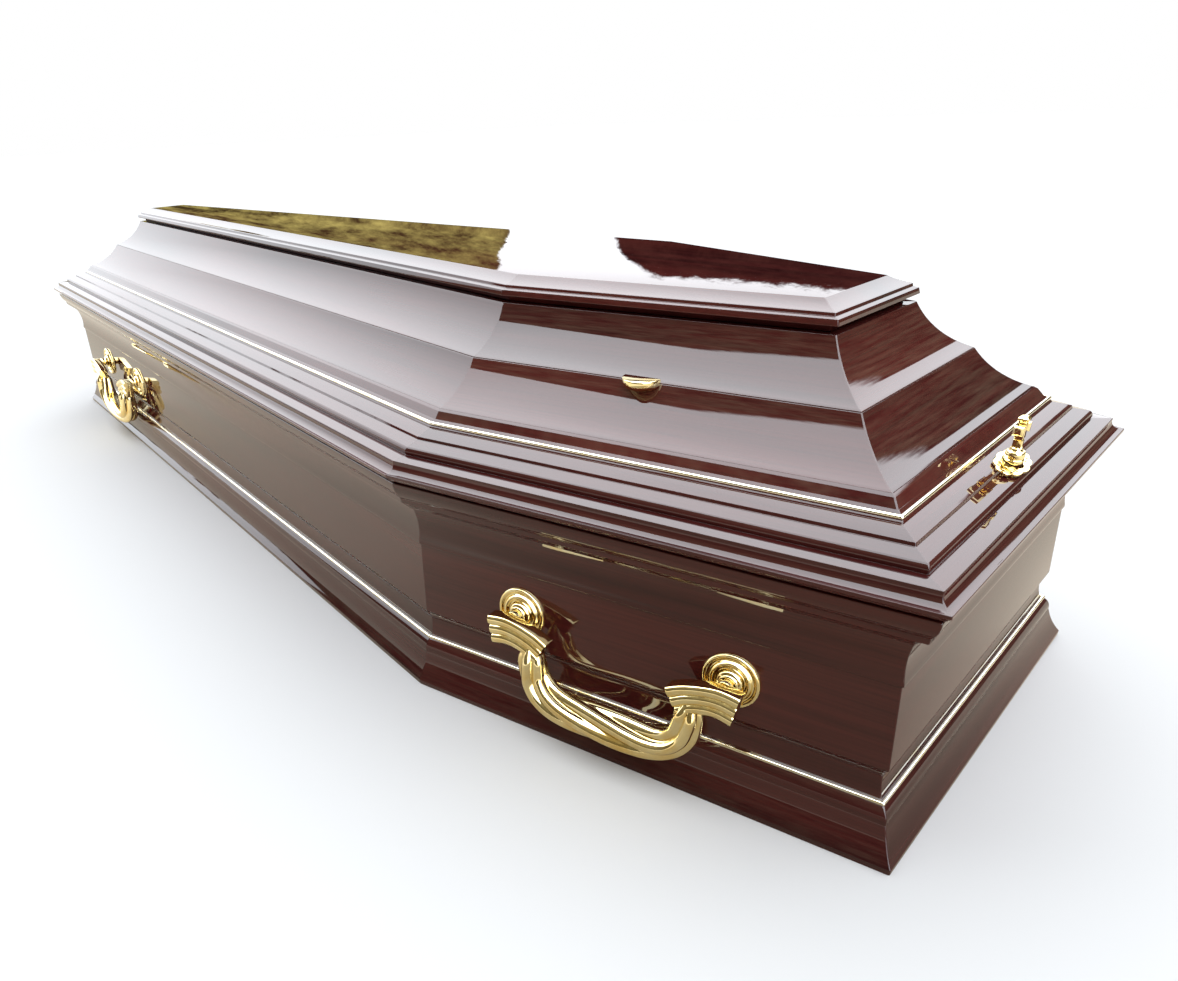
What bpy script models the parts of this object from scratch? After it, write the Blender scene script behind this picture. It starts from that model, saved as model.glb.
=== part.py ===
import math

import bmesh
import bpy
from mathutils import Matrix, Vector

# Wooden coffin: six-sided body and coved lid of mitred lengths, cast handles and lid screws
# Head end at +X, the left-hand side of the person lying in it at -Y, floor at Z = 0
# All sizes in metres

# Plan of the outermost edge, where the plinth meets the floor
LENGTH = 2.0
HEAD_HALF_WIDTH = 0.2265
SHOULDER_HALF_WIDTH = 0.338
FOOT_HALF_WIDTH = 0.226
SHOULDER_FROM_HEAD = 0.506

# Clearances between neighbouring pieces
JOINT_GAP = 0.0003
MITRE_GAP = 0.0003
SHADOW_GAP = 0.0035

# Stations of the mouldings, each as (outward from the plinth's floor edge, height)
PLINTH_FOOT = (0.0, 0.0)
PLINTH_FOOT_TOP = (0.0, 0.006)
PLINTH_SLOPE_TOP = (-0.0150, 0.0355)
PLINTH_SWELL_FOOT = (-0.0158, 0.0372)
PLINTH_SWELL_TOP = (-0.0216, 0.0511)
FASCIA_FOOT = (-0.0268, 0.0541)
FASCIA_TOP = (-0.0307, 0.0762)
PANEL_FOOT = (-0.0256, 0.0884)
CROWN_FOOT = (-0.0306, 0.1698)
CROWN_FILLET = (-0.0308, 0.1728)
CROWN_HOLLOW = (-0.0346, 0.1900)
CROWN_HOLLOW_TOP = (-0.0298, 0.2120)
CROWN_STEP = (-0.0174, 0.2236)
CROWN_STEP_TOP = (-0.0168, 0.2290)
CROWN_LIP = (-0.0108, 0.2470)
RIM_Z = 0.2480
LIP_UNDER_OUT = -0.0085
LIP_TIP_LOW = (-0.0047, 0.2560)
LIP_TIP = (-0.0047, 0.2590)
LIP_HOLLOW_TOP = (-0.0157, 0.2700)
OVOLO_FOOT = (-0.0326, 0.2703)
OVOLO_TOP = (-0.0350, 0.2782)
BAND_END = (-0.0488, 0.2812)
BAND_STEP = (-0.0496, 0.2840)
UPPER_BAND_END = (-0.0656, 0.2880)
BEAD_SEAT_FOOT = (-0.0662, 0.2892)
BEAD_SEAT_TOP = (-0.0716, 0.2939)
COVE_ROLL_FOOT = (-0.0735, 0.2950)
COVE_ROLL_TOP = (-0.0790, 0.3018)
LOWER_COVE_FOOT = (-0.0819, 0.3035)
COVE_EDGE = (-0.1338, 0.3436)
UPPER_COVE_TOP = (-0.1830, 0.3882)
PLATE_NECK_OUT = -0.1925
PLATE_NECK_TOP = 0.3938
PLATE_EDGE_FOOT = (-0.1816, 0.3954)
PLATE_EDGE_TOP = (-0.1830, 0.4008)
PLATE_STEP = (-0.1876, 0.4022)
PLATE_STEP_TOP = (-0.1881, 0.4049)
PLATE_HOLLOW = (-0.1990, 0.4078)
PLATE_FLAT = (-0.2072, 0.4124)

# Depths of the hollows and how far the rounded parts swell
SLOPE_SAG = 0.0016
PLINTH_SWELL = 0.0018
FASCIA_SAG = 0.0010
CROWN_SAG = 0.0030
LIP_SAG = 0.0042
LOWER_COVE_SAG = 0.0056
UPPER_COVE_SAG = 0.0064
PANEL_EDGE_SAG = 0.0012
PANEL_EDGE_DROP = 0.0012
CROWN_STEP_SAG = 0.0012
CROWN_LIP_SWELL = 0.0018
CROWN_LIP_CHAMFER = 0.0006
OVOLO_SWELL = 0.0016

# Boards
PLINTH_SEAT_OUT = -0.040
CROWN_SEAT_OUT = -0.042
WALL_INNER_OUT = -0.058
BOTTOM_THICKNESS = 0.020
FLANGE_BACK_OUT = -0.0820
SHADOW_GAP_OUT = -0.0200
COVE_BOARD_THICKNESS = 0.018
COVE_BOARD_HEEL = 0.020

# Gilt strips with a half-round face, one on the lid under the lower cove, one on the plinth
GILT_BEAD_WIDTH = 0.0048
GILT_BEAD_SWELL = 0.0023

# How far the blocks that cut each length to its mitres reach past the mouldings
SECTOR_MARGIN = 0.004

# Handles
HANDLE_CENTRE_FROM_HEAD_CORNER = 0.2715
HANDLE_CENTRE_FROM_FOOT_CORNER = 0.3190
HANDLE_POST_SPACING = 0.2230
HANDLE_POST_Z = 0.1265
ROSETTE_RADIUS = 0.0270
ROSETTE_RIM_THICKNESS = 0.0045
ROSETTE_DISH_RADIUS = 0.0205
ROSETTE_RING_RADIUS = 0.0160
ROSETTE_RING_THICKNESS = 0.0080
ROSETTE_EDGE_BEVEL = 0.0030
ROSETTE_EDGE_DROP = 0.0020
ROSETTE_DISH_DEPTH = 0.0015
POST_RADIUS = 0.0075
POST_NECK_RADIUS = 0.0105
POST_NECK_HEIGHT = 0.0120
BAR_OUT = 0.0250
BAR_RADIUS = 0.0148
BAR_LOBES = 4
BAR_LOBE_DEPTH = 0.0020
BAR_TWIST = math.radians(110.0)
BAR_DROP = 0.0797
BAR_LEG_INSIDE_POST = 0.0285
BAR_TOP = (0.0020, -0.0160)
BAR_LEG_HIGH = (0.0010, -0.0300)
BAR_LEG_MIDDLE = (-0.0005, -0.0440)
BAR_LEG_LOW = (-0.0040, -0.0570)
BAR_BEND = (-0.0160, -0.0700)
BAR_SPINDLE_END = (-0.0380, -0.0775)
BAR_END_SHARE = 0.92
BAR_MIDDLE_SWELL = 0.16
WING_HALF_HEIGHT = 0.0152
WING_HALF_DEPTH = 0.0065
WING_RIB_SWELL = 0.0026
WING_TIP_BEYOND_POST = 0.0165
WING_INSIDE_POST = 0.0445
WING_HEIGHTS = (-0.0097, -0.0073, -0.0092, -0.0155, -0.0245)
WING_FLARE = (1.0, 0.96, 0.92, 0.94, 1.0)

# Lid knobs and lid screws
KNOB_RADIUS = 0.0185
KNOB_TOP_ABOVE_EDGE = 0.0040
KNOB_TOP_EASE = 0.0008
KNOB_RIM_HEIGHT = 0.0040
KNOB_DEPTH = 0.0125
KNOB_CUT_REACH = 0.04
SCREW_OUT = -0.0460
PLATE_HALF_LENGTH = 0.0285
PLATE_HALF_WIDTH = 0.0145
PLATE_THICKNESS = 0.0020
PLATE_SCALLOPS = 10
PLATE_SCALLOP_DEPTH = 0.08
PLATE_END_HOLE_ALONG = 0.0211
PLATE_END_HOLE_RADIUS = 0.0026
PLATE_SIDE_HOLE_ALONG = 0.0160
PLATE_SIDE_HOLE_ACROSS = 0.0058
PLATE_SIDE_HOLE_RADIUS = 0.0016
PLATE_CLEARANCE = 0.0016
SCREW_HOLE_CLEARANCE = 0.0014
SCREW_HEAD_RADIUS = 0.0080
SCREW_HEAD_HEIGHT = 0.0110
SCREW_DOME_SHARE = 0.72
SCREW_SHOULDER_SHARE = 0.93
SCREW_DOME_DROP = 0.0006
SCREW_SHOULDER_DROP = 0.0016
SCREW_SIDE_DROP = 0.0034
STEM_RADIUS = 0.0036
STEM_FOOT_SHARE = 1.5
STEM_FOOT_RISE = 0.0012
STEM_FLARE_RISE = 0.0040
CROSS_ARM_Z = 0.0300
CROSS_TOP_Z = 0.0410
CROSS_HALF_SPAN = 0.0110
CROSS_ARM_RADIUS = 0.0030
CROSS_END_RADIUS = 0.0044
CROSS_CAP_SHARE = 0.85
CROSS_CAP_BEVEL = 0.0008
CROSS_CAP_LENGTH = 0.0035
CROSS_NECK_LENGTH = 0.0065

SIDES = ("left_shoulder", "left_side", "foot", "right_side", "right_shoulder", "head")


def fresh_start():
    for old in list(bpy.data.objects):
        bpy.data.objects.remove(old, do_unlink=True)
    scene = bpy.context.scene
    part = bpy.data.collections.new("wooden_coffin")
    tools = bpy.data.collections.new("cutters")
    scene.collection.children.link(part)
    scene.collection.children.link(tools)
    return part, tools


PART, CUTTERS = fresh_start()


def material(name, colour, roughness, metallic):
    made = bpy.data.materials.new(name)
    made.use_nodes = True
    shader = made.node_tree.nodes["Principled BSDF"]
    shader.inputs["Base Color"].default_value = (*colour, 1.0)
    shader.inputs["Roughness"].default_value = roughness
    shader.inputs["Metallic"].default_value = metallic
    return made


WOOD = (0.090, 0.022, 0.014)
BARE_WOOD = (0.380, 0.230, 0.120)
GILT = (0.830, 0.620, 0.250)


# Plan geometry: the six corners at any distance outward from the floor edge
def plan_corners(out):
    head_x = LENGTH / 2
    shoulder_x = head_x - SHOULDER_FROM_HEAD
    foot_x = -LENGTH / 2
    base = [
        Vector((head_x, -HEAD_HALF_WIDTH)),
        Vector((shoulder_x, -SHOULDER_HALF_WIDTH)),
        Vector((foot_x, -FOOT_HALF_WIDTH)),
        Vector((foot_x, FOOT_HALF_WIDTH)),
        Vector((shoulder_x, SHOULDER_HALF_WIDTH)),
        Vector((head_x, HEAD_HALF_WIDTH)),
    ]
    lines = []
    for index, corner in enumerate(base):
        along = (base[(index + 1) % 6] - corner).normalized()
        outward = Vector((-along.y, along.x))
        if outward.dot(corner) < 0:
            outward = -outward
        lines.append((corner + outward * out, along))
    corners = []
    for index in range(6):
        start, along = lines[index - 1]
        other, across = lines[index]
        cross = along.x * across.y - along.y * across.x
        gap = other - start
        reach = (gap.x * across.y - gap.y * across.x) / cross
        corners.append(start + along * reach)
    return corners


# Frame of one side: X outward, Y up, Z along the side, origin on the floor edge
def side_frame(index):
    corners = plan_corners(0.0)
    start = corners[index]
    end = corners[(index + 1) % 6]
    along = (end - start).normalized()
    outward = Vector((-along.y, along.x, 0.0))
    if outward.dot(Vector((start.x, start.y, 0.0))) < 0:
        outward = -outward
    up = Vector((0.0, 0.0, 1.0))
    third = outward.cross(up)
    middle = (start + end) / 2
    frame = Matrix((outward, up, third)).transposed().to_4x4()
    frame.translation = Vector((middle.x, middle.y, 0.0))
    return frame, (end - start).length


# Points of a circular arc from one station to the next, bulging by sag to its right-hand side
def arc(start, end, sag, steps):
    start = Vector(start)
    end = Vector(end)
    chord = end - start
    half = chord.length / 2
    radius = (half * half + sag * sag) / (2 * abs(sag))
    side = Vector((chord.y, -chord.x)).normalized() * (1 if sag > 0 else -1)
    centre = (start + end) / 2 - side * (radius - abs(sag))
    turn = 2 * math.asin(min(1.0, half / radius))
    first = start - centre
    sign = 1 if sag > 0 else -1
    points = []
    for step in range(steps + 1):
        angle = sign * turn * step / steps
        turned = Matrix.Rotation(angle, 2) @ first
        points.append(tuple(centre + turned))
    return points


def curve_shape(name, rings, half_depth):
    shape = bpy.data.curves.new(name, "CURVE")
    shape.dimensions = "2D"
    shape.fill_mode = "BOTH"
    shape.extrude = half_depth
    for ring in rings:
        spline = shape.splines.new("POLY")
        spline.points.add(len(ring) - 1)
        for point, (x, y) in zip(spline.points, ring):
            point.co = (x, y, 0.0, 1.0)
        spline.use_cyclic_u = True
    return shape


# A curve turned into a welded mesh object, in place
def mesh_from_curve(name, shape, frame, collection):
    carrier = bpy.data.objects.new(name + "_curve", shape)
    CUTTERS.objects.link(carrier)
    carrier.matrix_world = frame
    bpy.context.view_layer.update()
    evaluated = carrier.evaluated_get(bpy.context.evaluated_depsgraph_get())
    mesh = bpy.data.meshes.new_from_object(evaluated)
    mesh.transform(frame)
    bpy.data.objects.remove(carrier, do_unlink=True)
    work = bmesh.new()
    work.from_mesh(mesh)
    bmesh.ops.remove_doubles(work, verts=work.verts, dist=0.00001)
    bmesh.ops.recalc_face_normals(work, faces=work.faces)
    work.to_mesh(mesh)
    work.free()
    mesh.name = name
    made = bpy.data.objects.new(name, mesh)
    collection.objects.link(made)
    return made


def hide_cutter(item):
    item.hide_render = True
    item.display_type = "WIRE"


def boolean(target, cutter, operation, solver="EXACT"):
    modifier = target.modifiers.new(operation.lower(), "BOOLEAN")
    modifier.operation = operation
    modifier.solver = solver
    modifier.object = cutter


def finish(item, colour, roughness, metallic):
    item.data.materials.clear()
    item.data.materials.append(material(item.name + "_finish", colour, roughness, metallic))


# Sector blocks, one for each side, their ends on the mitre planes less half the mitre gap
def sector_block(index):
    far = plan_corners(PLINTH_FOOT[0] + SECTOR_MARGIN)
    near = plan_corners(UPPER_COVE_TOP[0] - COVE_BOARD_HEEL - SECTOR_MARGIN)
    after = (index + 1) % 6
    first_mitre = (far[index] - near[index]).normalized()
    last_mitre = (far[after] - near[after]).normalized()
    into = (far[after] - far[index]).normalized()
    first_shift = Vector((-first_mitre.y, first_mitre.x)) * (MITRE_GAP / 2)
    last_shift = Vector((-last_mitre.y, last_mitre.x)) * (MITRE_GAP / 2)
    if first_shift.dot(into) < 0:
        first_shift = -first_shift
    if last_shift.dot(into) > 0:
        last_shift = -last_shift
    ring = [
        tuple(far[index] + first_shift),
        tuple(far[after] + last_shift),
        tuple(near[after] + last_shift),
        tuple(near[index] + first_shift),
    ]
    shape = curve_shape("sector", [ring], PLATE_FLAT[1] / 2 + SECTOR_MARGIN)
    frame = Matrix.Translation((0.0, 0.0, PLATE_FLAT[1] / 2))
    block = mesh_from_curve("sector_" + SIDES[index], shape, frame, CUTTERS)
    hide_cutter(block)
    return block


SECTORS = [sector_block(index) for index in range(6)]


# One moulding in six lengths, each its own piece with a mitre at both ends
def mitred_lengths(family, profile, colour, roughness):
    lengths = []
    for index, side in enumerate(SIDES):
        frame, span = side_frame(index)
        shape = curve_shape(family, [profile], span / 2 + SECTOR_MARGIN)
        piece = mesh_from_curve(f"{family}_{side}", shape, frame, PART)
        boolean(piece, SECTORS[index], "INTERSECT")
        finish(piece, colour, roughness, 0.0)
        lengths.append(piece)
    return lengths


# Body: bottom board inside the six walls
def bottom_board():
    ring = [tuple(corner) for corner in plan_corners(WALL_INNER_OUT - JOINT_GAP)]
    shape = curve_shape("bottom", [ring], BOTTOM_THICKNESS / 2)
    frame = Matrix.Translation((0.0, 0.0, BOTTOM_THICKNESS / 2))
    board = mesh_from_curve("bottom_board", shape, frame, PART)
    finish(board, BARE_WOOD, 0.6, 0.0)


# Walls: boards rebated at the foot for the plinth and at the rim for the crown moulding
def panel_out(height):
    lean = (CROWN_HOLLOW[0] - PANEL_FOOT[0]) / (CROWN_HOLLOW[1] - PANEL_FOOT[1])
    return PANEL_FOOT[0] + lean * (height - PANEL_FOOT[1])


def wall_profile():
    seat_z = FASCIA_TOP[1] + JOINT_GAP
    rebate_z = CROWN_FOOT[1] - JOINT_GAP
    under = (FASCIA_TOP[0], seat_z)
    edge_foot = (PANEL_FOOT[0], PANEL_FOOT[1] - PANEL_EDGE_DROP)
    points = [
        (WALL_INNER_OUT, 0.0),
        (PLINTH_SEAT_OUT, 0.0),
        (PLINTH_SEAT_OUT, seat_z),
    ]
    points += arc(under, edge_foot, -PANEL_EDGE_SAG, 3)
    points += [
        PANEL_FOOT,
        (panel_out(rebate_z), rebate_z),
        (CROWN_SEAT_OUT, rebate_z),
        (CROWN_SEAT_OUT, RIM_Z - JOINT_GAP),
        (WALL_INNER_OUT, RIM_Z - JOINT_GAP),
    ]
    return points


def plinth_profile():
    back = PLINTH_SEAT_OUT + JOINT_GAP
    points = [(back, 0.0), PLINTH_FOOT]
    points += arc(PLINTH_FOOT_TOP, PLINTH_SLOPE_TOP, -SLOPE_SAG, 4)
    points += arc(PLINTH_SWELL_FOOT, PLINTH_SWELL_TOP, PLINTH_SWELL, 4)
    points += arc(FASCIA_FOOT, FASCIA_TOP, -FASCIA_SAG, 3)
    points.append((back, FASCIA_TOP[1]))
    return points


def crown_profile():
    back = CROWN_SEAT_OUT + JOINT_GAP
    points = [(back, CROWN_FOOT[1]), CROWN_FOOT, CROWN_FILLET]
    points += arc(CROWN_FILLET, CROWN_HOLLOW_TOP, -CROWN_SAG, 5)[1:]
    points += arc(CROWN_HOLLOW_TOP, CROWN_STEP, -CROWN_STEP_SAG, 2)[1:]
    points.append(CROWN_STEP_TOP)
    points += arc(CROWN_STEP_TOP, CROWN_LIP, CROWN_LIP_SWELL, 4)[1:]
    points.append((CROWN_LIP[0] - CROWN_LIP_CHAMFER, RIM_Z - JOINT_GAP))
    points.append((back, RIM_Z - JOINT_GAP))
    return points


# Lid: flange that rests on the rim, two tiers of coved boards and a moulded top plate
def flange_profile():
    points = [
        (FLANGE_BACK_OUT, RIM_Z),
        (SHADOW_GAP_OUT, RIM_Z),
        (SHADOW_GAP_OUT, RIM_Z + SHADOW_GAP),
        (LIP_UNDER_OUT, RIM_Z + SHADOW_GAP),
        LIP_TIP_LOW,
    ]
    points += arc(LIP_TIP, LIP_HOLLOW_TOP, -LIP_SAG, 5)
    points += arc(OVOLO_FOOT, OVOLO_TOP, OVOLO_SWELL, 4)
    points += [BAND_END, BAND_STEP, UPPER_BAND_END]
    points += [BEAD_SEAT_FOOT, BEAD_SEAT_TOP, COVE_ROLL_FOOT, COVE_ROLL_TOP, LOWER_COVE_FOOT]
    points.append((FLANGE_BACK_OUT, LOWER_COVE_FOOT[1]))
    return points


# Gilt bead: one strip bent round all six corners, flat at the back, in the middle of its seat
def gilt_bead(name, seat_foot, seat_top):
    seat = (Vector(seat_top) - Vector(seat_foot)).normalized()
    off_seat = Vector((seat.y, -seat.x))
    middle = (Vector(seat_top) + Vector(seat_foot)) / 2 + off_seat * JOINT_GAP
    low = middle - seat * (GILT_BEAD_WIDTH / 2)
    high = middle + seat * (GILT_BEAD_WIDTH / 2)
    section = arc(low, high, GILT_BEAD_SWELL, 6)
    work = bmesh.new()
    rings = []
    for out, height in section:
        rings.append([work.verts.new((c.x, c.y, height)) for c in plan_corners(out)])
    for station, ring in enumerate(rings):
        following = rings[(station + 1) % len(rings)]
        for index in range(6):
            after = (index + 1) % 6
            work.faces.new((ring[index], ring[after], following[after], following[index]))
    bmesh.ops.recalc_face_normals(work, faces=work.faces)
    mesh = bpy.data.meshes.new(name)
    work.to_mesh(mesh)
    work.free()
    strip = bpy.data.objects.new(name, mesh)
    PART.objects.link(strip)
    finish(strip, GILT, 0.18, 1.0)


def cove_profile(foot, top, sag):
    chord = (Vector(top) - Vector(foot)).normalized()
    inward = Vector((chord.y, -chord.x))
    if inward.x > 0:
        inward = -inward
    heel = Vector(foot) + inward * COVE_BOARD_THICKNESS
    slope = chord.y / chord.x
    heel_z = heel.y + (foot[0] - heel.x) * slope
    points = [(foot[0], heel_z)]
    points += arc(foot, top, -sag, 7)
    return points, heel, slope


def lower_cove_profile():
    foot = (LOWER_COVE_FOOT[0] - JOINT_GAP, LOWER_COVE_FOOT[1])
    points, heel, slope = cove_profile(foot, COVE_EDGE, LOWER_COVE_SAG)
    end_z = heel.y + (COVE_EDGE[0] - heel.x) * slope
    points.append((COVE_EDGE[0], end_z))
    return points


def upper_cove_profile():
    foot = (COVE_EDGE[0] - JOINT_GAP, COVE_EDGE[1])
    points, heel, slope = cove_profile(foot, UPPER_COVE_TOP, UPPER_COVE_SAG)
    back_out = UPPER_COVE_TOP[0] - COVE_BOARD_HEEL
    back_z = heel.y + (back_out - heel.x) * slope
    points.append((back_out, UPPER_COVE_TOP[1]))
    points.append((back_out, back_z))
    return points


def top_plate():
    rings = [
        (PLATE_NECK_OUT, UPPER_COVE_TOP[1] + JOINT_GAP),
        (PLATE_NECK_OUT, PLATE_NECK_TOP),
        PLATE_EDGE_FOOT,
        PLATE_EDGE_TOP,
        PLATE_STEP,
        PLATE_STEP_TOP,
        PLATE_HOLLOW,
        PLATE_FLAT,
    ]
    work = bmesh.new()
    corners = plan_corners(rings[0][0])
    verts = [work.verts.new((c.x, c.y, rings[0][1])) for c in corners]
    face = work.faces.new(verts)
    underside = face
    for out, height in rings[1:]:
        grown = bmesh.ops.extrude_face_region(work, geom=[face])
        below = face
        face = [item for item in grown["geom"] if isinstance(item, bmesh.types.BMFace)][0]
        if below is not underside:
            bmesh.ops.delete(work, geom=[below], context="FACES_ONLY")
        placed = plan_corners(out)
        for vert in face.verts:
            flat = Vector((vert.co.x, vert.co.y))
            nearest = min(placed, key=lambda corner: (corner - flat).length)
            vert.co = (nearest.x, nearest.y, height)
    bmesh.ops.recalc_face_normals(work, faces=work.faces)
    mesh = bpy.data.meshes.new("lid_top_plate")
    work.to_mesh(mesh)
    work.free()
    plate = bpy.data.objects.new("lid_top_plate", mesh)
    PART.objects.link(plate)
    finish(plate, WOOD, 0.12, 0.0)


# Turned pieces: half a section at +X, spun about Z
def turned(name, section, steps, collection):
    mesh = bpy.data.meshes.new(name)
    edges = [(index, index + 1) for index in range(len(section) - 1)]
    mesh.from_pydata([(radius, 0.0, height) for radius, height in section], edges, [])
    item = bpy.data.objects.new(name, mesh)
    collection.objects.link(item)
    screw = item.modifiers.new("turn", "SCREW")
    screw.axis = "Z"
    screw.angle = math.tau
    screw.steps = steps
    screw.render_steps = steps
    screw.use_merge_vertices = True
    screw.merge_threshold = 0.00001
    screw.use_smooth_shade = True
    return item


# Frame of a handle: origin on the panel between the posts, X along the side, Z out of the panel
def handle_frame(index, along_from_start):
    corners = plan_corners(panel_out(HANDLE_POST_Z))
    ring = plan_corners(0.0)
    start = ring[index]
    end = ring[(index + 1) % 6]
    along = (end - start).normalized()
    outward = Vector((-along.y, along.x))
    if outward.dot(start) < 0:
        outward = -outward
    on_panel = (corners[index] - start).dot(outward)
    spot = start + along * along_from_start + outward * on_panel
    lean = math.atan2(CROWN_HOLLOW[0] - PANEL_FOOT[0], CROWN_HOLLOW[1] - PANEL_FOOT[1])
    out3 = Vector((outward.x, outward.y, 0.0))
    up = Vector((0.0, 0.0, 1.0))
    out_of_panel = out3 * math.cos(lean) - up * math.sin(lean)
    up_panel = up * math.cos(lean) + out3 * math.sin(lean)
    sideways = up_panel.cross(out_of_panel)
    frame = Matrix((sideways, up_panel, out_of_panel)).transposed().to_4x4()
    frame.translation = Vector((spot.x, spot.y, HANDLE_POST_Z))
    return frame


def section_curve(name, ring):
    shape = bpy.data.curves.new(name, "CURVE")
    shape.dimensions = "2D"
    spline = shape.splines.new("POLY")
    spline.points.add(len(ring) - 1)
    for point, (x, y) in zip(spline.points, ring):
        point.co = (x, y, 0.0, 1.0)
    spline.use_cyclic_u = True
    item = bpy.data.objects.new(name, shape)
    CUTTERS.objects.link(item)
    hide_cutter(item)
    return item


# A section carried along a path in the handle's own plane
def swept(name, section, path, tilts, radii):
    shape = bpy.data.curves.new(name, "CURVE")
    shape.dimensions = "3D"
    shape.twist_mode = "Z_UP"
    shape.bevel_mode = "OBJECT"
    shape.bevel_object = section
    shape.use_fill_caps = True
    spline = shape.splines.new("POLY")
    spline.points.add(len(path) - 1)
    for point, (x, y), tilt, radius in zip(spline.points, path, tilts, radii):
        point.co = (x, y, BAR_OUT, 1.0)
        point.tilt = tilt
        point.radius = radius
    return mesh_from_curve(name, shape, Matrix.Identity(4), CUTTERS)


def smooth_path(anchors, steps):
    dense = []
    padded = [anchors[0]] + anchors + [anchors[-1]]
    for index in range(1, len(padded) - 2):
        before, start, end, after = (Vector(p) for p in padded[index - 1:index + 3])
        for step in range(steps):
            t = step / steps
            spot = 0.5 * (
                2 * start + (end - before) * t
                + (2 * before - 5 * start + 4 * end - after) * t * t
                + (3 * start - before - 3 * end + after) * t * t * t
            )
            dense.append(tuple(spot))
    dense.append(anchors[-1])
    return dense


def bar_path():
    leg_half = HANDLE_POST_SPACING / 2 - BAR_LEG_INSIDE_POST
    anchors = (BAR_TOP, BAR_LEG_HIGH, BAR_LEG_MIDDLE, BAR_LEG_LOW, BAR_BEND, BAR_SPINDLE_END)
    right = [(leg_half + across, height) for across, height in anchors]
    left = [(-x, y) for x, y in reversed(right)]
    return smooth_path(right + [(0.0, -BAR_DROP)] + left, 2)


def wing_path(sign):
    tip = HANDLE_POST_SPACING / 2 + WING_TIP_BEYOND_POST
    reach = WING_TIP_BEYOND_POST + WING_INSIDE_POST
    last = len(WING_HEIGHTS) - 1
    return [(sign * (tip - reach * index / last), height) for index, height in enumerate(WING_HEIGHTS)]


def wing_section():
    ring = []
    for rib in range(3):
        width = 2 * WING_HALF_HEIGHT / 3
        low = -WING_HALF_HEIGHT + rib * width
        start = (low, WING_HALF_DEPTH)
        end = (low + width, WING_HALF_DEPTH)
        points = arc(start, end, -WING_RIB_SWELL, 4)
        ring += points if rib == 0 else points[1:]
    ring.append((WING_HALF_HEIGHT, -WING_HALF_DEPTH))
    ring.append((-WING_HALF_HEIGHT, -WING_HALF_DEPTH))
    return ring


def bar_section():
    ring = []
    count = 3 * BAR_LOBES
    for step in range(count):
        angle = math.tau * step / count
        radius = BAR_RADIUS - BAR_LOBE_DEPTH * (1 - math.cos(BAR_LOBES * angle)) / 2
        ring.append((radius * math.cos(angle), radius * math.sin(angle)))
    return ring


def handle_mesh():
    path = bar_path()
    last = len(path) - 1
    tilts = [BAR_TWIST * (index / last - 0.5) for index in range(last + 1)]
    swell = [math.sin(math.pi * index / last) for index in range(last + 1)]
    radii = [BAR_END_SHARE + BAR_MIDDLE_SWELL * share for share in swell]
    bar = swept("bar", section_curve("bar_section", bar_section()), path, tilts, radii)
    section = section_curve("wing_section", wing_section())
    for sign in (1, -1):
        wing = swept("wing", section, wing_path(sign), (0.0,) * len(WING_FLARE), WING_FLARE)
        hide_cutter(wing)
        boolean(bar, wing, "UNION", "MANIFOLD")
    bpy.context.view_layer.update()
    evaluated = bar.evaluated_get(bpy.context.evaluated_depsgraph_get())
    mesh = bpy.data.meshes.new_from_object(evaluated)
    hide_cutter(bar)
    return mesh


def rosette_section():
    post_end = BAR_OUT - WING_HALF_DEPTH - JOINT_GAP
    return [
        (0.0, post_end),
        (POST_RADIUS, post_end),
        (POST_RADIUS, POST_NECK_HEIGHT),
        (POST_NECK_RADIUS, ROSETTE_RING_THICKNESS),
        (ROSETTE_RING_RADIUS, ROSETTE_RING_THICKNESS),
        (ROSETTE_DISH_RADIUS, ROSETTE_RIM_THICKNESS - ROSETTE_DISH_DEPTH),
        (ROSETTE_RADIUS - ROSETTE_EDGE_BEVEL, ROSETTE_RIM_THICKNESS),
        (ROSETTE_RADIUS, ROSETTE_RIM_THICKNESS - ROSETTE_EDGE_DROP),
        (ROSETTE_RADIUS, JOINT_GAP),
        (0.0, JOINT_GAP),
    ]


def handles():
    casting = handle_mesh()
    spots = []
    _, shoulder_span = side_frame(0)
    _, long_span = side_frame(1)
    spots.append(("left_head", 0, HANDLE_CENTRE_FROM_HEAD_CORNER))
    spots.append(("left_foot", 1, long_span - HANDLE_CENTRE_FROM_FOOT_CORNER))
    spots.append(("right_foot", 3, HANDLE_CENTRE_FROM_FOOT_CORNER))
    spots.append(("right_head", 4, shoulder_span - HANDLE_CENTRE_FROM_HEAD_CORNER))
    for name, index, along in spots:
        frame = handle_frame(index, along)
        bar = bpy.data.objects.new("handle_" + name, casting.copy())
        PART.objects.link(bar)
        bar.matrix_world = frame
        finish(bar, GILT, 0.18, 1.0)
        bar.data.shade_smooth()
        for end, sign in (("head_end", 1), ("foot_end", -1)):
            shift = Matrix.Translation((sign * HANDLE_POST_SPACING / 2, 0.0, 0.0))
            toward_head = (frame.to_3x3() @ Vector((sign, 0.0, 0.0))).x > 0
            label = "head_end" if toward_head else "foot_end"
            rosette = turned(f"rosette_{name}_{label}", rosette_section(), 14, PART)
            rosette.matrix_world = frame @ shift
            finish(rosette, GILT, 0.18, 1.0)


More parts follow.
